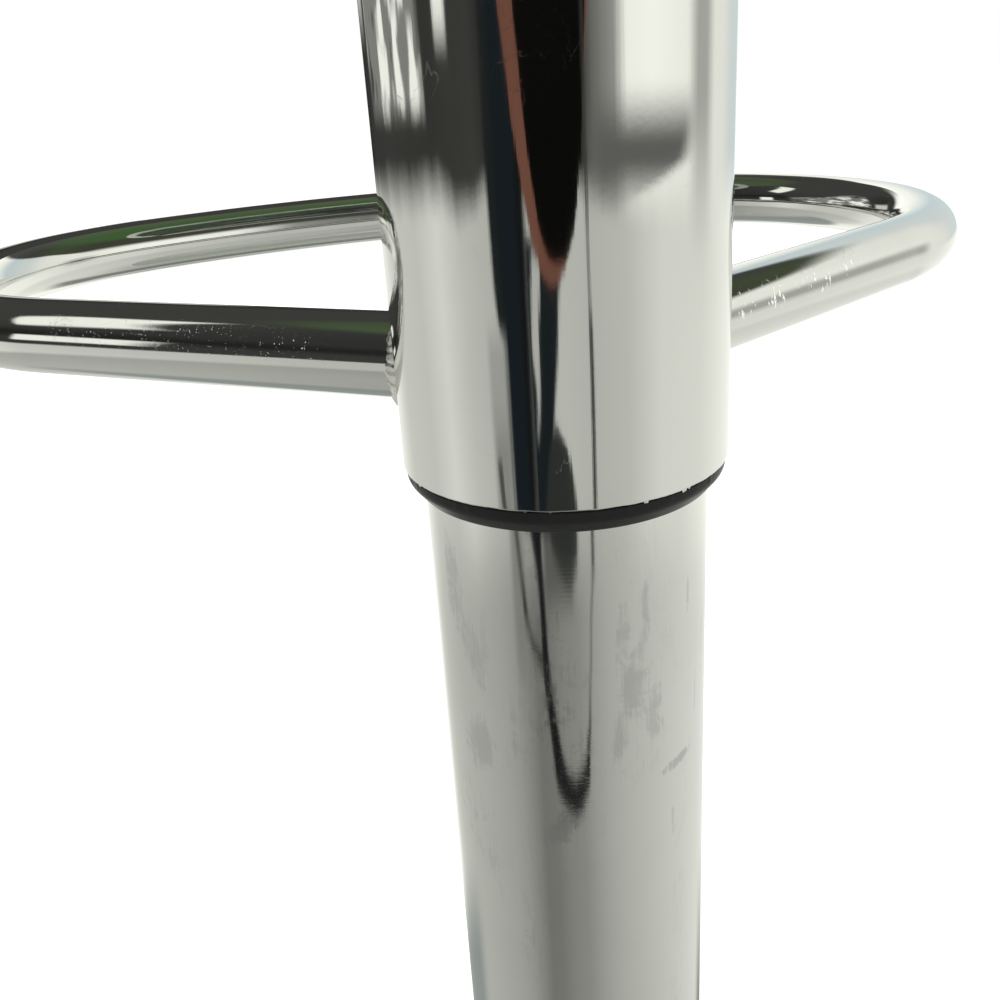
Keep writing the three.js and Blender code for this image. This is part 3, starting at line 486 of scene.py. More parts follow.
def add_object(name, vertices, faces, material, sharp=38.0):
    data = bpy.data.meshes.new(name)
    data.from_pydata([tuple(float(c) * MM for c in v) for v in vertices], [], faces)
    made = bmesh.new()
    made.from_mesh(data)
    bmesh.ops.recalc_face_normals(made, faces=made.faces)
    made.to_mesh(data)
    made.free()
    data.shade_smooth()
    data.set_sharp_from_angle(angle=radians(sharp))
    data.materials.append(material)
    obj = bpy.data.objects.new(name, data)
    bpy.context.scene.collection.objects.link(obj)
    return obj


def skin(rings, closed=False):
    """Faces that join rings of equally many points; a ring of one point is a pole."""
    vertices, faces, starts = [], [], []
    for ring in rings:
        starts.append((len(vertices), len(ring)))
        vertices.extend(ring)
    pairs = list(zip(starts, starts[1:]))
    if closed:
        pairs.append((starts[-1], starts[0]))
    for (a, count_a), (b, count_b) in pairs:
        count = max(count_a, count_b)
        for i in range(count):
            j = (i + 1) % count
            if count_a == 1:
                faces.append((a, b + j, b + i))
            elif count_b == 1:
                faces.append((a + i, a + j, b))
            else:
                faces.append((a + i, a + j, b + j, b + i))
    return vertices, faces


def lathe(profile, segments, shift=None):
    """A closed body of revolution; shift(angle, radius, height) may move its points."""
    angles = [2 * pi * i / segments for i in range(segments)]
    rings = []
    for radius, height in profile:
        if radius <= 0:
            rings.append([(0, 0, height)])
            continue
        ring = []
        for angle in angles:
            r, z = shift(angle, radius, height) if shift else (radius, height)
            ring.append((r * cos(angle), r * sin(angle), z))
        rings.append(ring)
    return skin(rings, closed=profile[0][0] > 0)


def rounded(points, radii, steps=6, closed=True):
    """The outline with its corners rounded; radii is one number, or one per corner."""
    count = len(points)
    if not hasattr(radii, "__len__"):
        radii = [radii] * count
    out = []
    for i, (point, radius) in enumerate(zip(points, radii)):
        ends = not closed and i in (0, count - 1)
        corner = Vector(point)
        before = Vector(points[i - 1]) - corner
        after = Vector(points[(i + 1) % count]) - corner
        if ends or radius <= 0 or before.length == 0 or after.length == 0:
            out.append(tuple(corner))
            continue
        reach = min(radius, before.length * 0.49, after.length * 0.49)
        start, end = corner + before.normalized() * reach, corner + after.normalized() * reach
        for k in range(steps + 1):
            t = k / steps
            out.append(tuple(start * (1 - t) ** 2 + corner * 2 * t * (1 - t) + end * t * t))
    return out


def spaced(a, b, steps):
    return [tuple(Vector(a).lerp(Vector(b), i / steps)) for i in range(steps)]


def sweep(path, radii, sides, up=UP, ends="flat"):
    """A round tube along a path that lies square to up."""
    rings = []
    count = len(path)
    if not hasattr(radii, "__len__"):
        radii = [radii] * count
    for i, (point, radius) in enumerate(zip(path, radii)):
        along = Vector(path[min(i + 1, count - 1)]) - Vector(path[max(i - 1, 0)])
        side = along.cross(up).normalized()
        top = side.cross(along).normalized()
        ring = []
        for k in range(sides):
            angle = 2 * pi * k / sides
            ring.append(tuple(Vector(point) + side * (radius * cos(angle)) + top * (radius * sin(angle))))
        rings.append(ring)
    if ends == "flat":
        rings = [[tuple(path[0])], *rings, [tuple(path[-1])]]
    return skin(rings)


def piece(name, shape, material, body, slot, *nodes, sharp=38.0):
    obj = add_object(name, *shape, material, sharp)
    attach(obj, body)
    if nodes:
        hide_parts(*nodes)
    return obj


# Base

WIDE = 256
TUBE = 160


def bezier(a, b, c, d, steps):
    points = []
    for i in range(steps + 1):
        t = i / steps
        weights = ((1 - t) ** 3, 3 * t * (1 - t) ** 2, 3 * t * t * (1 - t), t**3)
        points.append(tuple(sum(w * p[k] for w, p in zip(weights, (a, b, c, d))) for k in (0, 1)))
    return points


def offset(line, distance):
    moved = []
    for i, point in enumerate(line):
        before, after = Vector(line[max(i - 1, 0)]), Vector(line[min(i + 1, len(line) - 1)])
        along = (after - before).normalized()
        moved.append((point[0] - along.y * distance, point[1] + along.x * distance))
    return moved


def base_shell():
    low, high = box("base_shell")
    radius, top, bend, neck_bend, wall = high.x, high.z, 8, 3, 1.6
    rim_top, neck = 20, 30.7
    inside = radius - bend
    rise = top - neck_bend - rim_top
    rim = [(inside + bend * cos(a), rim_top - bend + bend * sin(a)) for a in np.linspace(0, pi / 2, 12)]
    flare = bezier(
        (inside, rim_top),
        (neck + (inside - neck) * 0.48, rim_top + rise * 0.1),
        (neck, rim_top + rise * 0.22),
        (neck, top - neck_bend),
        60,
    )
    crest = [(neck - neck_bend + neck_bend * cos(a), top - neck_bend + neck_bend * sin(a)) for a in np.linspace(0, pi / 2, 8)]
    line = [(radius, low.z), *rim, *flare[1:-1], *crest, (25.3, top)]
    shape = lathe([*offset(line, wall)[::-1], *line], WIDE)
    piece("base_shell_spun", shape, M_BASE, "base", "chrome", "base_shell", sharp=50)


def floor_ring():
    low, high = box("floor_ring")
    outer = high.x
    profile = [
        (outer - 18, low.z),
        (outer, low.z),
        (outer, 3.2),
        (outer - 0.9, 3.2),
        (outer - 0.9, high.z),
        (outer - 4.5, high.z),
        (outer - 4.5, 3.2),
        (outer - 18, 3.2),
    ]
    shape = lathe(rounded(profile, [0.5, 0.9, 0.9, 0.2, 0.6, 0.6, 0.4, 0.5], 3), WIDE)
    piece("floor_ring_moulded", shape, M_RUBBER, "base", "rubber", "floor_ring")


# Column and sleeve


def column():
    low, high = box("column_tube")
    radius, wall, taper = high.x, 1.5, 1.4
    socket_top = box("base_socket")[1].z
    profile = [
        (radius - taper - 3.6, low.z),
        (radius - taper, low.z),
        *spaced((radius - taper, low.z + 2), (radius, socket_top), 6),
        *spaced((radius, socket_top), (radius, high.z), 24),
        (radius, high.z),
        (radius - wall, high.z),
        (radius - wall, socket_top),
        (radius - taper - wall, low.z + 2),
        (radius - taper - 3.6, low.z + 2),
    ]
    shape = lathe(profile, TUBE)
    piece("column_chromed", shape, M_COLUMN, "base", "chrome", "column_tube")


def sleeve():
    """The sleeve, with an unevenly cut lower edge."""
    bore = 27.0

    def cut_edge(angle, radius, height):
        if height > SLEEVE_EDGE + 0.6:
            return radius, height
        uneven = field.noise(Vector((cos(angle) * 9, sin(angle) * 9, 1))) * 0.09
        uneven += field.noise(Vector((cos(angle) * 45, sin(angle) * 45, 5))) * 0.05
        return radius, height + max(0.0, uneven + 0.06)

    profile = [
        (bore, SLEEVE_EDGE),
        (SLEEVE_RADIUS - 0.1, SLEEVE_EDGE),
        (SLEEVE_RADIUS - 0.02, SLEEVE_EDGE + 0.03),
        (SLEEVE_RADIUS, SLEEVE_EDGE + 0.12),
        (SLEEVE_RADIUS, SLEEVE_EDGE + 0.2),
        *spaced((SLEEVE_RADIUS, SLEEVE_EDGE + 0.9), (SLEEVE_RADIUS, SLEEVE_HIGH.z - 0.4), 30),
        (SLEEVE_RADIUS, SLEEVE_HIGH.z - 0.4),
        (SLEEVE_RADIUS - 0.3, SLEEVE_HIGH.z),
        (bore, SLEEVE_HIGH.z),
    ]
    shape = lathe(profile, 320, cut_edge)
    piece("sleeve_chromed", shape, M_SLEEVE, "carriage", "chrome", "sleeve")


def sleeve_ring():
    """The black ring: an upright edge under the sleeve, then a rounded taper to the column."""
    low, high = box("sleeve_bush")
    outer = SLEEVE_RADIUS - 0.4
    lip_top = SLEEVE_EDGE - 0.3
    edge = lip_top - 0.4 * (lip_top - low.z)

    def flash(angle, radius, height):
        if height < lip_top - 1.2 or radius < outer - 0.8:
            return radius, height
        rough = field.noise(Vector((cos(angle) * 30, sin(angle) * 30, 2)))
        return radius + max(0.0, rough - 0.28) * 0.5, height

    outline = [
        (25.2, low.z),
        (25.9, low.z),
        (outer, edge),
        (outer, lip_top),
        (26.8, lip_top),
        (26.8, high.z),
        (25.2, high.z),
    ]
    profile = rounded(outline, [0.15, 0.5, 1.3, 0.25, 0, 0.3, 0.3], 6)
    piece("sleeve_ring", lathe(profile, 320, flash), M_RING, "carriage", "black_plastic", "sleeve_bush")


def edge_burrs():
    """Specks of plating and plastic flash left along the sleeve's lower edge."""
    vertices, faces = [], []
    spots = [(18, 0.6), (103, 0.55), (118.5, 0.7), (121, 0.4), (153, 0.6), (156, 0.45), (72, 0.3), (64, 0.3)]
    spots += [(160 + 23 * i + 9 * field.noise(Vector((i * 1.7, 3, 1))), 0.4 + 0.2 * (i % 3)) for i in range(9)]
    for index, (bearing, size) in enumerate(spots):
        centre = Vector((cos(radians(bearing)), sin(radians(bearing)), 0)) * (SLEEVE_RADIUS - 0.25)
        centre.z = SLEEVE_EDGE - 0.05
        along = Vector((-centre.y, centre.x, 0)).normalized()
        rings = []
        for i in range(9):
            tilt = pi * i / 8
            ring = []
            for k in range(10 if 0 < i < 8 else 1):
                a = 2 * pi * k / 10
                spot = (along * sin(tilt) * cos(a) * 1.3 + UP * sin(tilt) * sin(a) * 0.7
                        + centre.normalized() * cos(tilt) * 0.6)
                jag = 1 + 0.5 * field.noise(spot * 2.2 + Vector((index, 0, 0)))
                ring.append(tuple(centre + spot * size * 0.62 * jag))
            rings.append(ring)
        more, joined = skin(rings)
        faces += [tuple(len(vertices) + c for c in face) for face in joined]
        vertices += more
    piece("edge_burrs", (vertices, faces), M_WELD, "carriage", "chrome", sharp=60)


# Footrest

FOOT_RADIUS = 8.0
FOOT_REACH = 206
FOOT_BEND = 70
FOOT_ANGLE = radians(56.5)
FOOT_HEIGHT = SLEEVE_EDGE + 15.5


def forward(angle, radius, height=FOOT_HEIGHT):
    return Vector((radius * sin(angle), -radius * cos(angle), height))


def footrest_path():
    """Centreline of the loop."""
    distance = FOOT_REACH - FOOT_BEND
    bend_side = asin(FOOT_BEND / distance)
    centre = FOOT_ANGLE - bend_side
    turn = pi / 2 + bend_side
    arm_end = sqrt(distance**2 - FOOT_BEND**2)
    arm_start = SLEEVE_RADIUS - 1.5
    half = [forward(FOOT_ANGLE, arm_start + (arm_end - arm_start) * i / 40) for i in range(40)]
    for i in range(64):
        at = FOOT_ANGLE + pi / 2 - turn * i / 64
        half.append(forward(centre, distance, 0) + forward(at, FOOT_BEND))
    front = [forward(centre * (1 - 2 * i / 60), FOOT_REACH) for i in range(61)]
    mirrored = [Vector((-p.x, p.y, p.z)) for p in reversed(half)]
    return [*half, *front, *mirrored]


def footrest():
    path = footrest_path()
    length = 0.0
    radii = []
    for i, point in enumerate(path):
        length += (point - path[i - 1]).length if i else 0
        nudge = 0.035 * sin(length / 11) + 0.03 * sin(length / 5.3 + 1)
        bent = 40 < i < 104 or 164 < i < len(path) - 40
        radii.append(FOOT_RADIUS + (nudge if bent else 0) - 0.03)
    shape = sweep(path, radii, 64)
    piece("footrest_loop", shape, M_FOOTREST, "carriage", "chrome", "footrest", sharp=60)
    for index, side in enumerate((1, -1)):
        weld(f"weld_bead_{index + 1}", side)


def weld(name, side):
    """A rippled fillet between an arm's end and the sleeve, widest on its outer side."""
    angle = side * FOOT_ANGLE
    out = forward(angle, 1, 0)
    across = Vector((out.y, -out.x, 0)) * side
    count, sides, sunk = 240, 14, 0.6
    rings = []
    for i in range(count):
        t = 2 * pi * i / count
        wide = 1.75 - 0.85 * cos(t) * 0.5 - 0.45 * sin(t)
        lump = field.noise(Vector((cos(t) * 2.6, sin(t) * 2.6, 4 * side)))
        ripple = 0.10 * sin(t * 31 + 2.2 * sin(t * 2)) + 0.07 * sin(t * 53 + 1)
        wide += 0.5 * lump + ripple
        radial = across * cos(t) + UP * sin(t)
        join = on_sleeve(out, across, FOOT_RADIUS, t)
        toe = join + out * wide * 1.15 - radial * 0.15
        spread = FOOT_RADIUS + wide
        heel = on_sleeve(out, across, spread, t) - out * 0.15
        crown = join + (out * wide + radial * wide) * (0.62 + 0.25 * ripple)
        ring = [tuple(join - (out + radial) * sunk)]
        for k in range(sides + 1):
            u = k / sides
            point = toe * (1 - u) ** 2 + crown * 2 * u * (1 - u) + heel * u * u
            rough = 0.09 * field.noise(Vector((i * 0.5, u * 5, 7 * side)))
            point += (out + radial) * rough * sin(pi * u)
            ring.append(tuple(point))
        rings.append(ring)
    piece(name, skin(rings, closed=True), M_WELD, "carriage", "chrome", sharp=80)


def on_sleeve(out, across, spread, t):
    """The point of the sleeve's surface at a distance and turn round an arm's axis."""
    u, w = spread * cos(t), spread * sin(t)
    along = sqrt(SLEEVE_RADIUS**2 - u * u)
    return out * along + across * u + UP * (FOOT_HEIGHT + w)


# Seat


def seat_sizes():
    cover_low, cover_high = box("seat_cover")
    board_low, board_high = box("seat_board")
    band_low, band_high = box("seat_band")
    return cover_low.z, cover_high.z, board_low.z, board_high.z, band_low.z, band_high.z


HEM_LOW, CROWN, BOARD_LOW, BOARD_TOP, BAND_LOW, BAND_TOP = seat_sizes()
SEAM_RADIUS = 175.0
SEAM_HEIGHT = BOARD_TOP + 53.5


def cushion_profile(slack=0.0):
    """Side and crown of the cushion from the board's top up, as (radius, height), slack mm short of full."""
    inside = 175.8
    side = [
        (171.2, BOARD_TOP + 0.3),
        (173.5, BOARD_TOP + 6),
        (inside, (BOARD_TOP + BAND_TOP) / 2),
        (inside, BAND_TOP),
        (179.2 - slack / 2, BAND_TOP + 7),
        (179.6 - slack / 2, BAND_TOP + 13),
        (177.6, SEAM_HEIGHT - 5),
        (SEAM_RADIUS, SEAM_HEIGHT),
    ]
    crown = []
    for i in range(1, 37):
        share = 1 - i / 36
        fall = 0.55 * share**2 + 0.45 * share**6
        crown.append((SEAM_RADIUS * share, SEAM_HEIGHT + (CROWN - slack - SEAM_HEIGHT) * (1 - fall)))
    return rounded(side, 4, 4, closed=False) + crown


def current_mesh(obj):
    bpy.context.view_layer.update()
    return bpy.data.meshes.new_from_object(obj.evaluated_get(bpy.context.evaluated_depsgraph_get()))


def set_mesh(obj, data):
    obj.modifiers.clear()
    obj.data = data


def swell(pad, held, cap, slack_fabric):
    """Remeshes the pad and swells it as cloth, pinned by held(point), moving no point further than cap mm."""
    grid = pad.modifiers.new("grid", "REMESH")
    grid.mode = "VOXEL"
    grid.voxel_size = 0.005
    set_mesh(pad, current_mesh(pad))
    start = [v.co.copy() for v in pad.data.vertices]
    pins = pad.vertex_groups.new(name="pins")
    for i, place in enumerate(start):
        pins.add([i], held(place / MM), "REPLACE")
    cloth = pad.modifiers.new("cloth", "CLOTH")
    settings = cloth.settings
    settings.quality = 5
    settings.vertex_group_mass = "pins"
    settings.use_pressure = True
    settings.uniform_pressure_force = 4
    settings.shrink_min = -slack_fabric
    settings.effector_weights.gravity = 0
    for frame_number in range(1, 21):
        bpy.context.scene.frame_set(frame_number)
    swollen = current_mesh(pad)
    bpy.context.scene.frame_set(1)
    set_mesh(pad, swollen)
    pad.vertex_groups.clear()
    for vertex, place in zip(pad.data.vertices, start):
        moved = vertex.co - place
        if moved.length > cap * MM:
            vertex.co = place + moved * (cap * MM / moved.length)
    finer = pad.modifiers.new("finer", "SUBSURF")
    finer.levels = finer.render_levels = 1
    set_mesh(pad, current_mesh(pad))


def pucker(pad):
    """Small gathers where the vinyl is sewn to the welt, and the cushion kept under its full height."""
    for vertex in pad.data.vertices:
        x, y, z = vertex.co / MM
        radius, angle = hypot(x, y), atan2(y, x)
        gap = hypot(radius - SEAM_RADIUS, z - SEAM_HEIGHT)
        if 2 < gap < 22 and z > BAND_TOP + 3:
            wander = field.noise(Vector((cos(angle) * 7, sin(angle) * 7, 2))) * 3
            folds = abs(sin(29 * angle + wander)) ** 0.6 * (0.6 + 0.8 * field.noise(Vector((x, y, 0)) / 24) ** 2)
            fade = min(1.0, (gap - 2) / 3) * (1 - gap / 22) ** 1.5
            inward = Vector((-x, -y, 0)).normalized() if z < SEAM_HEIGHT else -UP
            vertex.co += inward * (0.9 * MM * (1 - folds) * fade)
        vertex.co.z = min(vertex.co.z, CROWN * MM)


def seat_cushion():
    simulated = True
    slack = 5 if simulated else 0
    profile = [(0, BOARD_TOP + 0.3), *cushion_profile(slack)]
    cushion = add_object("seat_cushion", *lathe(profile, 144), M_VINYL)

    def held(place):
        seam = hypot(hypot(place.x, place.y) - SEAM_RADIUS, place.z - SEAM_HEIGHT)
        if place.z < BAND_TOP + 1.5 or seam < 5:
            return 1.0
        return max(0.0, 1 - (seam - 5) / 4)

    if simulated:
        swell(cushion, held, cap=5.5, slack_fabric=0.012)
        pucker(cushion)
        cushion.data.shade_smooth()
    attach(cushion, "carriage")
    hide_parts("seat_cover", "seat_foam")
    boxing_seam(cushion)


def boxing_seam(cushion):
    """Where the cushion's side strip is joined at the back: a ridge between two rows of stitches."""
    bpy.context.view_layer.update()
    surface = BVHTree.FromObject(cushion, bpy.context.evaluated_depsgraph_get())

    def skin_point(x, z):
        hit = surface.ray_cast(Vector((x, 250, z)) * MM, Vector((0, -1, 0)))[0]
        return hit / MM

    low, high = BAND_TOP - 2, SEAM_HEIGHT - 1.5
    path = [skin_point(0, low + (high - low) * i / 24) - Vector((0, 0.15, 0)) for i in range(25)]
    ridge = sweep(path, 0.75, 12, up=Vector((1, 0, 0)))
    piece("boxing_seam", ridge, M_VINYL, "carriage", "vinyl", sharp=80)
    vertices, faces = [], []
    for x in (-3.2, 3.2):
        z = BAND_TOP + 1.5
        while z + 2.7 < SEAM_HEIGHT - 2:
            lift = [-0.5, 0.15, 0.3, 0.15, -0.5]
            thread = [skin_point(x, z + 2.7 * i / 4) + Vector((0, lift[i], 0)) for i in range(5)]
            more, joined = sweep(thread, 0.33, 8, up=Vector((1, 0, 0)))
            faces += [tuple(len(vertices) + c for c in face) for face in joined]
            vertices += more
            z += 3.7
    piece("boxing_stitches", (vertices, faces), M_STITCH, "carriage", "vinyl", sharp=80)


def hem_staples():
    """Wire staples that hold the vinyl's hem under the board."""
    vertices, faces = [], []
    reach, wire = 4.5, 0.35
    for i in range(64):
        angle = 2 * pi * i / 64 + 0.02 * field.noise(Vector((i * 1.3, 0, 0)))
        lean = 0.35 * field.noise(Vector((i * 2.1, 4, 0)))
        middle = Vector((cos(angle), sin(angle), 0)) * 152.8
        along = Vector((-sin(angle + lean), cos(angle + lean), 0))
        z = HEM_LOW - 0.2
        corners = [
            middle - along * reach + UP * (z + 2), middle - along * reach + UP * z,
            middle + along * reach + UP * z, middle + along * reach + UP * (z + 2),
        ]
        path = [Vector(point) for point in rounded_path(corners, 0.8)]
        more, joined = sweep(path, wire, 6, up=along.cross(UP))
        faces += [tuple(len(vertices) + c for c in face) for face in joined]
        vertices += more
    piece("hem_staples", (vertices, faces), M_STEEL, "carriage", "steel", sharp=80)


def rounded_path(points, radius):
    out = [points[0]]
    for before, corner, after in zip(points, points[1:], points[2:]):
        start = corner + (before - corner).normalized() * radius
        end = corner + (after - corner).normalized() * radius
        out += [start * (1 - t) ** 2 + corner * 2 * t * (1 - t) + end * t * t for t in (0, 1 / 3, 2 / 3, 1)]
    return [*out, points[-1]]


def seat_hem():
    """The vinyl pulled round the board and stapled under it, with small pleats."""
    inner, outer, side = 149.5, 171.5, 171.5

    def pleat(angle, radius, height):
        if height > HEM_LOW + 0.7 or radius > 168:
            return radius, height
        share = (168 - radius) / (168 - inner)
        return radius, height + 0.5 * share * max(0.0, sin(angle * 36 + sin(angle * 5)))

    outline = [
        (inner, HEM_LOW),
        *spaced((inner + 2, HEM_LOW), (outer, HEM_LOW), 8),
        (outer, HEM_LOW),
        (side, BOARD_TOP + 0.2),
        (170.3, BOARD_TOP + 0.2),
        (170.3, BOARD_LOW - 0.3),
        (inner, BOARD_LOW - 0.3),
    ]
    radii = [0.3] + [0] * 8 + [1.0, 0, 0, 0.5, 0.3]
    shape = lathe(rounded(outline, radii, 3), 432, pleat)
    piece("seat_hem", shape, M_VINYL, "carriage", "vinyl", "seat_cover")


def seat_welt():
    radius, shift = 3.0, 2.33
    centre, height = SEAM_RADIUS + shift, SEAM_HEIGHT + shift
    rings = []
    for i in range(288):
        angle = 2 * pi * i / 288
        wander = 0.18 * field.noise(Vector((cos(angle) * 6, sin(angle) * 6, 3)))
        r, z = centre + wander, height + 0.6 * wander
        ring = []
        for k in range(16):
            a = 2 * pi * k / 16
            reach = r + radius * cos(a)
            ring.append((reach * cos(angle), reach * sin(angle), z + radius * sin(a)))
        rings.append(ring)
    piece("seat_welt_piping", skin(rings, closed=True), M_WELT, "carriage", "vinyl", "seat_welt", sharp=80)


def seat_band():
    """Ribbed band, rolled from strip, with a lip under the board."""
    bore, outer, lip = 176.1, 177.3, 20
    margin, ribs, depth = 5, 3, 3.6
    room = (BAND_TOP - BAND_LOW - 2 * margin) / ribs
    line = [(outer, BAND_LOW + margin)]
    for i in range(1, 16 * ribs):
        line.append((outer + depth * abs(sin(pi * i / 16)), BAND_LOW + margin + room * i / 16))
    line.append((outer, BAND_TOP - margin))
    lip_top = BAND_LOW + 1.2
    corner = [(bore - lip, BAND_LOW), (outer, BAND_LOW)]
    top = [(outer, BAND_TOP), (bore, BAND_TOP)]
    inner = [(bore, lip_top), (bore - lip, lip_top)]
    profile = (
        rounded([*corner, line[0]], [0, 1.2, 0], 5, closed=False)
        + line[1:]
        + rounded([line[-1], *top, inner[0]], [0, 0.5, 0.5, 0], 4, closed=False)[1:]
        + [inner[1]]
    )
    piece("seat_band_ribbed", lathe(profile, WIDE), M_TRIM, "carriage", "chrome", "seat_band", sharp=45)


# Lever


def lever_path():
    pivot = box("lever_pin")
    z = (pivot[0].z + pivot[1].z) / 2
    drop, start, end, reach, inner = 18, 52, 76, 170, 6
    middle = -(start + end) / 2
    bend = bezier((-start, z), (middle, z), (middle, z - drop), (-end, z - drop), 32)
    points = [Vector((x, 0, z)) for x in np.linspace(inner, -start, 12, endpoint=False)]
    points += [Vector((x, 0, h)) for x, h in bend]
    points += [Vector((x, 0, z - drop)) for x in np.linspace(-end, -reach, 12)[1:]]
    return points


def lever():
    path = lever_path()
    radii = [4.0] * len(path)
    radii[0] = radii[-1] = 3.5
    shape = sweep(path, radii, 32, up=Vector((0, 1, 0)))
    piece("lever_rod", shape, M_TRIM, "lever", "chrome", "lever", sharp=60)
    low, high = box("lever_pin")
    x, z = (low.x + high.x) / 2, (low.z + high.z) / 2
    outline = rounded([(2.6, -4.5), (6.5, -4.5), (6.5, 4.5), (2.6, 4.5)], 0.6, 3)
    vertices, faces = lathe(outline, 64)
    boss = [(x + vx, vz, z + vy) for vx, vy, vz in vertices]
    piece("lever_boss", (boss, faces), M_TRIM, "lever", "chrome", "lever")


def lever_grip():
    """Moulded grip: a waisted barrel with finger rings and a domed tip."""
    low, high = box("lever_grip")
    length = high.x - low.x
    z = (low.z + high.z) / 2
    full, waist, bore = 8.0, 6.8, 4.3
    profile = [(bore, 0), (waist - 0.5, 0), (waist, 0.6)]
    for i in range(1, 49):
        share = i / 48
        along = 0.6 + (length - 5) * share
        swell = waist + (full - waist) * min(1.0, max(0.0, (share - 0.2) / 0.3))
        rings = 0.28 * max(0.0, sin(2 * pi * (share * 7))) if 0.45 < share < 0.92 else 0
        profile.append((swell - rings, along))
    for a in np.linspace(0.15, pi / 2, 10):
        profile.append((full - 4 + 4 * cos(a), length - 4 + 4 * sin(a)))
    profile[-1] = (full - 4, length)
    profile += [(0, length), (0, length - 3.3), (bore, length - 3.3)]
    start = len(profile) - 2
    ordered = profile[start:] + profile[:start]
    vertices, faces = lathe(ordered, 64)
    points = [(high.x - vz, vy, z + vx) for vx, vy, vz in vertices]
    piece("lever_grip_moulded", (points, faces), M_GRIP, "lever", "black_plastic", "lever_grip")


base_shell()
floor_ring()
column()
sleeve()
sleeve_ring()
edge_burrs()
footrest()
seat_cushion()
seat_hem()
hem_staples()
seat_welt()
seat_band()
lever()
lever_grip()

# CAD nodes that stay in view or inside get their finish and soft edges

FINISH = {
    "ballast_plate": M_PAINT,
    "base_socket": M_STEEL,
    "column_foot": M_STEEL,
    "guide_bush": M_RING,
    "bearing_lower_race": M_TURNED,
    "bearing_upper_race": M_TURNED,
    "bearing_balls": M_TURNED,
    "piston_rod": M_TRIM,
    "piston": M_TURNED,
    "piston_seal": M_RUBBER,
    "rod_clip": M_STEEL,
    "bump_stop": M_RUBBER,
    "pressure_tube": M_PAINT,
    "rod_seal": M_RUBBER,
    "rod_guide": M_RING,
    "valve_body": M_TURNED,
    "release_button": M_RED,
    "taper_hub": M_STEEL,
    "mount_plate": M_PAINT,
    "lever_pin": M_STEEL,
    "seat_board": M_PLY,
}
SOFT_EDGES = {"mount_plate": 0.4, "lever_pin": 0.4}


def dress_cad_nodes():
    for name, node in frame["nodes"].items():
        material = FINISH.get(name, M_STEEL)
        node.data.materials.clear()
        node.data.materials.append(material)
        if name in SOFT_EDGES:
            edge = node.modifiers.new("edge", "BEVEL")
            edge.width = SOFT_EDGES[name] * MM
            edge.segments = 2
            edge.limit_method = "ANGLE"
            edge.angle_limit = radians(50)


dress_cad_nodes()

# Studio

BEARING = radians(77.06)  # towards the camera, from +X
BACK = (cos(BEARING), sin(BEARING), 0)
RIGHT = (-sin(BEARING), cos(BEARING), 0)  # to the right in the picture
REFLECTANCE = 0.8
SWEEP_TINT = (0.985, 1.0, 0.93)


def linear(level):
    value = level / 255
    return value / 12.92 if value <= 0.04045 else ((value + 0.055) / 1.055) ** 2.4


def tone(level, tint=SWEEP_TINT):
    """The light that chrome has to mirror to show a grey level or a colour."""
    if hasattr(level, "__len__"):
        return [linear(part) / REFLECTANCE for part in level]
    return [linear(level) / REFLECTANCE * part for part in tint]


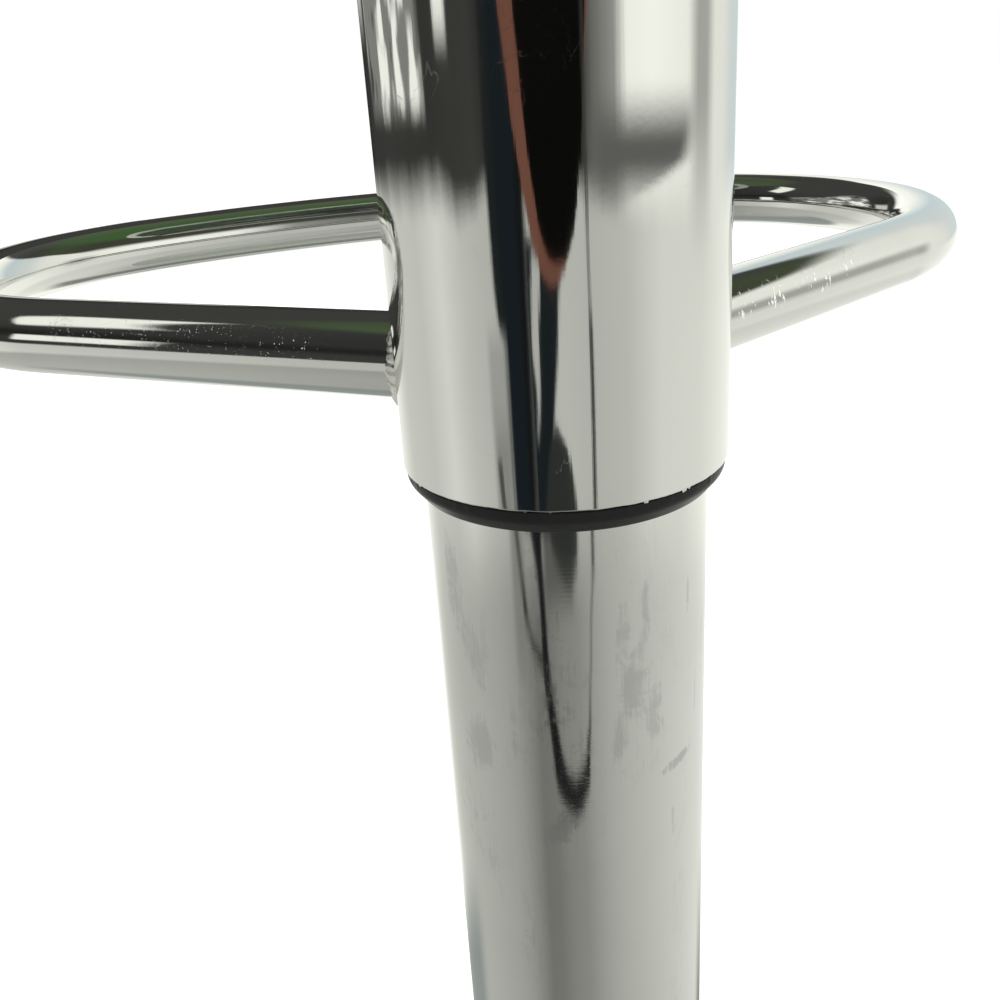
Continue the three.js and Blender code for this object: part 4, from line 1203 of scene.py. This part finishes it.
class Surround(Nodes):
    """What the chrome mirrors, by bearing from the camera (degrees, right +) and height."""

    FULL = 360.0
    FLOOR, CEILING = -48.0, 0.0  # heights between which edges are traced

    def __init__(self, tree):
        super().__init__(tree)
        ray = self.new("ShaderNodeTexCoord").outputs["Generated"]
        self.back, self.side, self.rise = (self.dot(ray, axis) for axis in (BACK, RIGHT, (0, 0, 1)))
        self.ray = ray
        degree = 180 / pi
        bearing = self.math("ARCTAN2", self.side, self.back)
        self.bearing = self.math("MULTIPLY", bearing, degree)
        self.height = self.math("MULTIPLY", self.math("ARCSINE", self.rise), degree)
        self.turn = self.math("MULTIPLY_ADD", self.bearing, 1 / self.FULL, 0.5)
        self.traced = self.step(self.height, self.FLOOR, self.CEILING, smooth=False)

    def dot(self, a, b):
        node = self.new("ShaderNodeVectorMath", operation="DOT_PRODUCT")
        self.set(node.inputs[0], a)
        node.inputs[1].default_value = b
        return node.outputs["Value"]

    def ring(self, stops):
        """Colour by bearing."""
        node = self.new("ShaderNodeValToRGB")
        self.set(node.inputs[0], self.turn)
        elements = node.color_ramp.elements
        elements.remove(elements[1])
        for i, (bearing, level) in enumerate(stops):
            place = bearing / self.FULL + 0.5
            element = elements[0] if i == 0 else elements.new(place)
            element.position = place
            element.color = rgba(tone(level))
        return node.outputs[0]

    def edge(self, points):
        """Bearing by height, along a smooth line through (height, bearing) points."""
        node = self.new("ShaderNodeFloatCurve")
        self.set(node.inputs["Value"], self.traced)
        curve = node.mapping.curves[0]
        places = sorted(((h - self.FLOOR) / (self.CEILING - self.FLOOR), b / self.FULL + 0.5) for h, b in points)
        while len(curve.points) < len(places):
            curve.points.new(0.5, 0.5)
        for point, place in zip(curve.points, places):
            point.location = place
        node.mapping.update()
        return self.math("MULTIPLY_ADD", node.outputs[0], self.FULL, -self.FULL / 2)

    def stretched(self, scale):
        node = self.new("ShaderNodeVectorMath", operation="MULTIPLY")
        self.set(node.inputs[0], self.ray)
        node.inputs[1].default_value = scale
        return node.outputs[0]

    def within(self, value, low, high, soft):
        above = self.step(value, self.math("SUBTRACT", low, soft), self.math("ADD", low, soft))
        below = self.step(value, self.math("SUBTRACT", high, soft), self.math("ADD", high, soft))
        return self.math("MULTIPLY", above, self.math("SUBTRACT", 1.0, below))

    def tip(self, middle, low, reach, half, power, soft):
        """A dark shape that hangs down to a blunt point at height low, and is half wide reach above it."""
        rise = self.math("MULTIPLY_ADD", self.height, 1 / reach, -low / reach)
        wide = self.math("ABSOLUTE", self.math("MULTIPLY_ADD", self.bearing, 1 / half, -middle / half))
        inside = self.math("SUBTRACT", rise, self.math("POWER", wide, power))
        shape = self.step(inside, -soft, soft)
        return self.math("MULTIPLY", shape, self.step(self.height, 3, 6, 1, 0))

    def between(self, left, right, low, high, soft, soft_height):
        """Where the ray is between two edges, traced or straight, and two heights."""
        left = self.edge(left) if hasattr(left, "__len__") else left
        right = self.edge(right) if hasattr(right, "__len__") else right
        across = self.within(self.bearing, left, right, soft)
        return self.math("MULTIPLY", across, self.within(self.height, low, high, soft_height))

    def card(self, under, level, left, right, low, high, soft=1.5, soft_height=0.5, share=1.0):
        """A card painted over what lies under it, as a painted reflection."""
        mask = self.between(left, right, low, high, soft, soft_height)
        return self.mix(self.math("MULTIPLY", mask, share), under, tone(level))


def world():
    made = bpy.data.worlds.new("studio")
    bpy.context.scene.world = made
    made.use_nodes = True
    tree = made.node_tree
    s = Surround(tree)

    # Painted reflections: the sweep, room and shapes that the chrome mirrors, traced by bearing and height
    upper = s.ring([
        (-180, 235), (-150, 222), (-130, 195), (-100, 190), (-80, 208), (-62, 186), (-48, 177),
        (-40, 172), (0, 181), (20, 175), (44, 182), (68, 207), (104, 212), (128, 226), (150, 235), (180, 238),
    ])
    lower = s.ring([
        (-180, 250), (-158, 235), (-146, 200), (-134, 186), (-110, 174), (-86, 167), (-62, 157), (-50, 147),
        (-38, 128), (-30, 111), (-20, 113), (-8, 127), (6, 135), (16, 149), (28, 162), (42, 172),
        (66, 184), (90, 195), (114, 204), (138, 211), (165, 222), (180, 235),
    ])
    sweep = s.mix(s.step(s.height, -29, -22), lower, upper)
    sweep = s.mix(s.step(s.height, -80, -42), tone(140), sweep)

    sweep = s.card(sweep, (130, 137, 135), -178, -116, -72, -43, 10, 2.5, 0.9)
    sweep = s.card(sweep, (106, 109, 103), 146, 179, -76, -44, 9, 5, 0.9)

    middle = s.ring([
        (-180, 252), (-176, 240), (-172, 54), (-160, 42), (-146, 52), (-120, 55), (-88, 50), (-76, 50), (-48, 56), (-30, 20),
        (0, 12), (17, 18), (24, 95), (38, 140), (46, 236), (62, 242), (96, 230), (102, 226), (108, 228),
        (114, 224), (128, 220), (140, (200, 206, 204)), (160, (185, 198, 201)), (170, 235), (180, 252),
    ])
    high = s.ring([
        (-180, (79, 87, 69)), (-150, (68, 74, 60)), (-125, (64, 76, 55)), (-95, (66, 82, 57)), (-70, (64, 78, 55)),
        (-45, (50, 56, 44)), (0, (40, 42, 36)), (30, (54, 60, 46)), (50, (57, 78, 49)), (90, (60, 87, 51)),
        (140, (62, 88, 53)), (180, (79, 88, 69)),
    ])
    fringe = s.ring([
        (-180, 58), (-150, 58), (-125, 59), (-95, 58), (-60, 47), (0, 38), (30, 62),
        (60, (62, 64, 54)), (100, (58, 60, 49)), (130, (62, 70, 52)), (150, 60), (180, 74),
    ])
    start = s.step(s.bearing, -40, 20, 53.0, 41.0)
    high = s.mix(s.step(s.height, start, s.math("ADD", start, s.step(s.bearing, -40, 20, 6.0, 13.0))), fringe, high)
    spread = s.step(s.bearing, 88, 116, 6.5, 1.6)
    ceiling = s.step(s.bearing, 96, 134, 22.0, 31.0)
    covered = s.step(s.height, s.math("SUBTRACT", ceiling, spread), s.math("ADD", ceiling, spread))
    shade = s.within(s.height, 9, 29, 6)
    middle = s.mix(s.math("MULTIPLY", shade, s.within(s.bearing, -80, -30, 3)), middle, tone(33))

    # Painted reflections of things behind the far side of the footrest, as soft upright blocks
    upper_edge = s.step(s.bearing, -135, -88, 29.0, 15.0)
    above = s.step(s.height, s.math("SUBTRACT", upper_edge, 2.5), s.math("ADD", upper_edge, 2.5), 1, 0)
    far = s.math("MULTIPLY", s.math("MULTIPLY", s.within(s.bearing, -143, -83, 3), above), s.step(s.height, -3.5, -1.5))
    blocks = s.noise(s.stretched((5.5, 5.5, 11)), 1.0, 2.0, 0.5)
    middle = s.mix(s.math("MULTIPLY", far, 0.9), middle, tone(128))
    middle = s.mix(s.math("MULTIPLY", far, s.step(blocks, 0.49, 0.60)), middle, tone(236))
    middle = s.mix(s.math("MULTIPLY", far, s.step(blocks, 0.40, 0.34)), middle, tone(66))
    room = s.mix(covered, middle, high)
    ragged = s.math("MULTIPLY_ADD", s.noise(s.ray, 7, 2, 0.5), 1.2, -0.6)
    soft = s.math("ADD", s.step(s.bearing, 10, 60, 1.3, 2.2), s.step(s.bearing, -70, -46, 0.5, 0.0))
    horizon = s.math("ADD", s.step(s.bearing, 10, 40, -6.4, -7.1), ragged)
    horizon = s.math("ADD", horizon, s.math("MULTIPLY", s.within(s.bearing, -68, -48, 6), -0.9))
    floor_edge = s.step(s.height, s.math("SUBTRACT", horizon, soft), s.math("ADD", horizon, soft))
    view = s.mix(floor_edge, sweep, room)
    view = s.card(view, 90, 22, [(0, 92), (-5.2, 90), (-6, 78), (-6.8, 62), (-7.3, 50), (-8, 40)], -7.0, -3.2, 9, 1.7)

    view = s.card(view, 152, 94, 112, -7, 7, 6, 5, 0.9)

    # Painted reflections of windows and lamps of the room behind the camera; they light nothing
    view = s.card(view, 235, -70, -62, 1, 12, 1.2, 1.5)
    view = s.card(view, 190, -163, -149, 2, 11, 2, 2)
    streak = s.math("MULTIPLY_ADD", s.bearing, 0.555, s.math("MULTIPLY_ADD", s.height, 0.83, 17.0))
    along = s.math("MULTIPLY_ADD", s.bearing, 0.83, s.math("MULTIPLY_ADD", s.height, -0.555, 106.3))
    lit = s.math("MULTIPLY", s.within(streak, -2, 6, 1.2), s.within(along, -3, 25, 3.0))
    view = s.mix(lit, view, tone(236))

    # Painted reflections of dark stands and cables in front of the sweep, next to the camera
    view = s.card(view, 150, -47, -36, -19, -14, 2, 1.2, 0.9)
    view = s.card(view, 121, -46.5, -36, -32, -18.6, 2.5, 1.6, 0.85)
    view = s.card(view, (28, 32, 32), [(0, -40.5), (-10, -41), (-13, -39.5), (-15, -36)], -30, -14, 4, 1.4, 0.9)
    view = s.card(
        view, (22, 28, 32),
        [(0, -36), (-8, -36), (-14, -35.5), (-20, -35.5), (-24, -35), (-28, -34)],
        [(0, -19), (-10, -18.8), (-20, -18.8), (-28, -18.8)],
        -24.3, 4, 2.6, 0.7,
    )
    view = s.card(view, (20, 20, 19), -23.6, -19.4, -24, 4, 1.3, 0.7, 0.75)
    view = s.card(view, 80, -20, 3, -28.3, -23, 3, 1.3, 0.9)
    view = s.card(
        view, (24, 30, 33),
        [(0, -19.5), (-28, -19.5)],
        [(0, 4), (-10, 3), (-12, 0.5), (-14, -0.8), (-16, -2.6), (-18, -4.8), (-20, -7), (-24, -9)],
        -24.5, -9, 1.3, 0.6,
    )
    view = s.card(
        view, 172,
        [(0, -15.5), (-10, -15.8), (-12.5, -17), (-15, -17.6), (-17, -16), (-20, -17), (-28, -18)],
        [(0, -11), (-8, -11.4), (-10, -10.6), (-12, -11.8), (-14, -13.2), (-17, -14.0), (-20, -16.6)],
        -19.4, -9.8, 1.0, 0.9, 0.95,
    )
    # Painted reflection of a pointed dark card and its brown edge
    view = s.mix(s.tip(-2.8, -11.55, 6.35, 18.3, 2.3, 0.05), view, tone((104, 70, 58)))
    view = s.mix(s.tip(0.9, -10.4, 5.2, 15.3, 2.9, 0.05), view, tone(10))
    view = s.card(
        view, (43, 45, 43),
        [(-18, -5), (-19, -6), (-20, -9), (-22, -12), (-25, -13.5), (-26, -10), (-27, -5), (-28, 0)],
        [(-18, -5), (-19, -3), (-20, 2), (-21, 4.5), (-22, 6), (-23.5, 7.5), (-25, 8), (-26, 6.5), (-27, 4), (-28, 0)],
        -27.3, -18.7, 1.3, 0.6,
    )
    # Painted reflection of a cable's loop, as what is inside one line and outside another
    outer = s.between(
        [
            (-22, -33), (-24, -30.5), (-25, -28.7), (-26, -27), (-27, -25.7), (-29, -24.7), (-32, -24.6),
            (-33, -23.6), (-34, -22.4), (-35, -21), (-36, -19.6), (-36.6, -18.9), (-37.2, -18.2), (-37.8, -17),
            (-38.1, -15.4), (-38.4, -13), (-38.7, -10.6), (-39, -7.3), (-39.25, -1.8),
        ],
        [
            (-22, 12.6), (-34, 12.6), (-36, 12), (-37.2, 11.6), (-37.8, 10.4), (-38.1, 9), (-38.4, 7),
            (-38.7, 5.1), (-39, 2.3), (-39.25, -1.8),
        ],
        -39.3, -23.6, 1.2, 0.25,
    )
    inner = s.between(
        [
            (-22, -18), (-24, -19), (-25, -21), (-27, -20.6), (-30, -20), (-31, -19.5), (-32, -18.6),
            (-33, -17.6), (-34, -15.6), (-35, -13.9), (-35.4, -13.1), (-36, -11.6), (-36.3, -10.4),
            (-36.6, -9.1), (-36.9, -7), (-37.1, -4), (-37.3, -1.2),
        ],
        [
            (-22, 20), (-33, 17), (-34.5, 12.8), (-35, 11), (-35.4, 10), (-36, 9.4), (-36.3, 8.3), (-36.6, 6.5),
            (-36.9, 3.8), (-37.1, 1.1), (-37.3, -1.2),
        ],
        -37.35, 4, 1.1, 0.2,
    )
    view = s.mix(s.math("MULTIPLY", outer, s.math("SUBTRACT", 1.0, inner)), view, tone((24, 26, 26)))
    cable_reflection = [(0, 19.2), (-10, 19.3), (-16, 19.9), (-21, 19.7), (-24, 19.4), (-26, 19.3), (-27.5, 18.2), (-29, 16.4), (-31, 15.5), (-33, 13.5), (-35, 12.4), (-36, 10.4), (-37.5, 7)]
    left, right = ([(h, b + side) for h, b in cable_reflection] for side in (-0.9, 0.9))
    view = s.card(view, 60, left, right, -37.6, 4, 0.8, 0.5, 0.6)
    view = s.card(view, 30, left, right, -26.9, -13.2, 1.0, 1.0, 0.9)
    view = s.card(view, 30, left, right, -37.4, -34.0, 1.0, 0.8, 0.6)
    view = s.card(view, 45, left, right, -8.4, 4, 0.8, 1.0, 0.4)
    cable_reflection = [(-18, -44), (-22, -43.4), (-24, -41.4), (-26, -39.4), (-28, -37.5), (-29, -36.2), (-30, -33), (-31, -27), (-32, -21)]
    left, right = ([(h, b + side) for h, b in cable_reflection] for side in (-1.5, 1.5))
    view = s.card(view, 62, left, right, -31.8, -20.5, 0.9, 0.4, 0.9)
    view = s.card(view, 30, left, right, -31.8, -27.5, 0.9, 1.2, 0.85)
    left, right = ([(h, b + side) for h, b in cable_reflection] for side in (-4, 4))
    view = s.card(view, 32, left, right, -32.0, -30.35, 2, 0.3, 0.75)

    # Only mirrored rays see the painted reflections above; other rays get plain grey, camera rays white
    rays = s.new("ShaderNodeLightPath").outputs
    mirrored = s.math("MAXIMUM", rays["Is Glossy Ray"], rays["Is Transmission Ray"])
    color = s.mix(mirrored, (0.62, 0.62, 0.61), view)
    color = s.mix(rays["Is Camera Ray"], color, (1, 1, 1))
    s.set(tree.nodes["Background"].inputs["Color"], color)


def floor():
    size = 12000
    points = [(-size, -size, 0), (size, -size, 0), (size, size, 0), (-size, size, 0)]
    made, nodes, inputs = new_material("floor_pale", (0.86, 0.86, 0.86), 0.0, 0.9)
    tree = made.node_tree
    rays = nodes.new("ShaderNodeLightPath").outputs
    white = nodes.new("ShaderNodeEmission")
    blend = nodes.new("ShaderNodeAddShader")
    away = nodes.new("ShaderNodeVectorMath", operation="LENGTH")
    nodes.set(away.inputs[0], nodes.place())
    lift = nodes.step(away.outputs["Value"], 0.22, 0.6, 0.12, 0.55)  # less where the shadow lies
    nodes.set(white.inputs["Strength"], nodes.math("MULTIPLY", rays["Is Camera Ray"], lift))
    nodes.set(blend.inputs[0], tree.nodes["Principled BSDF"].outputs[0])
    nodes.set(blend.inputs[1], white.outputs[0])
    nodes.set(tree.nodes["Material Output"].inputs["Surface"], blend.outputs[0])
    plane = add_object("floor", points, [(0, 1, 2, 3)], made)
    plane.visible_glossy = False


def lamp(name, place, aim, size, power):
    data = bpy.data.lights.new(name, "AREA")
    data.shape = "RECTANGLE"
    data.size, data.size_y = size
    data.energy = power
    obj = bpy.data.objects.new(name, data)
    bpy.context.scene.collection.objects.link(obj)
    obj.location = place
    obj.rotation_euler = (Vector(aim) - Vector(place)).to_track_quat("-Z", "Y").to_euler()
    obj.visible_glossy = False


world()
floor()
lamp("key", (1.6, 1.8, 2.2), (0, 0, 0.45), (1.6, 1.6), 60)
lamp("fill", (-1.8, 1.2, 1.4), (0, 0, 0.4), (1.4, 1.8), 30)
lamp("rear", (-0.6, -2.2, 1.8), (0, 0, 0.5), (1.8, 1.2), 30)

scene = bpy.context.scene
scene.view_settings.view_transform = "Standard"
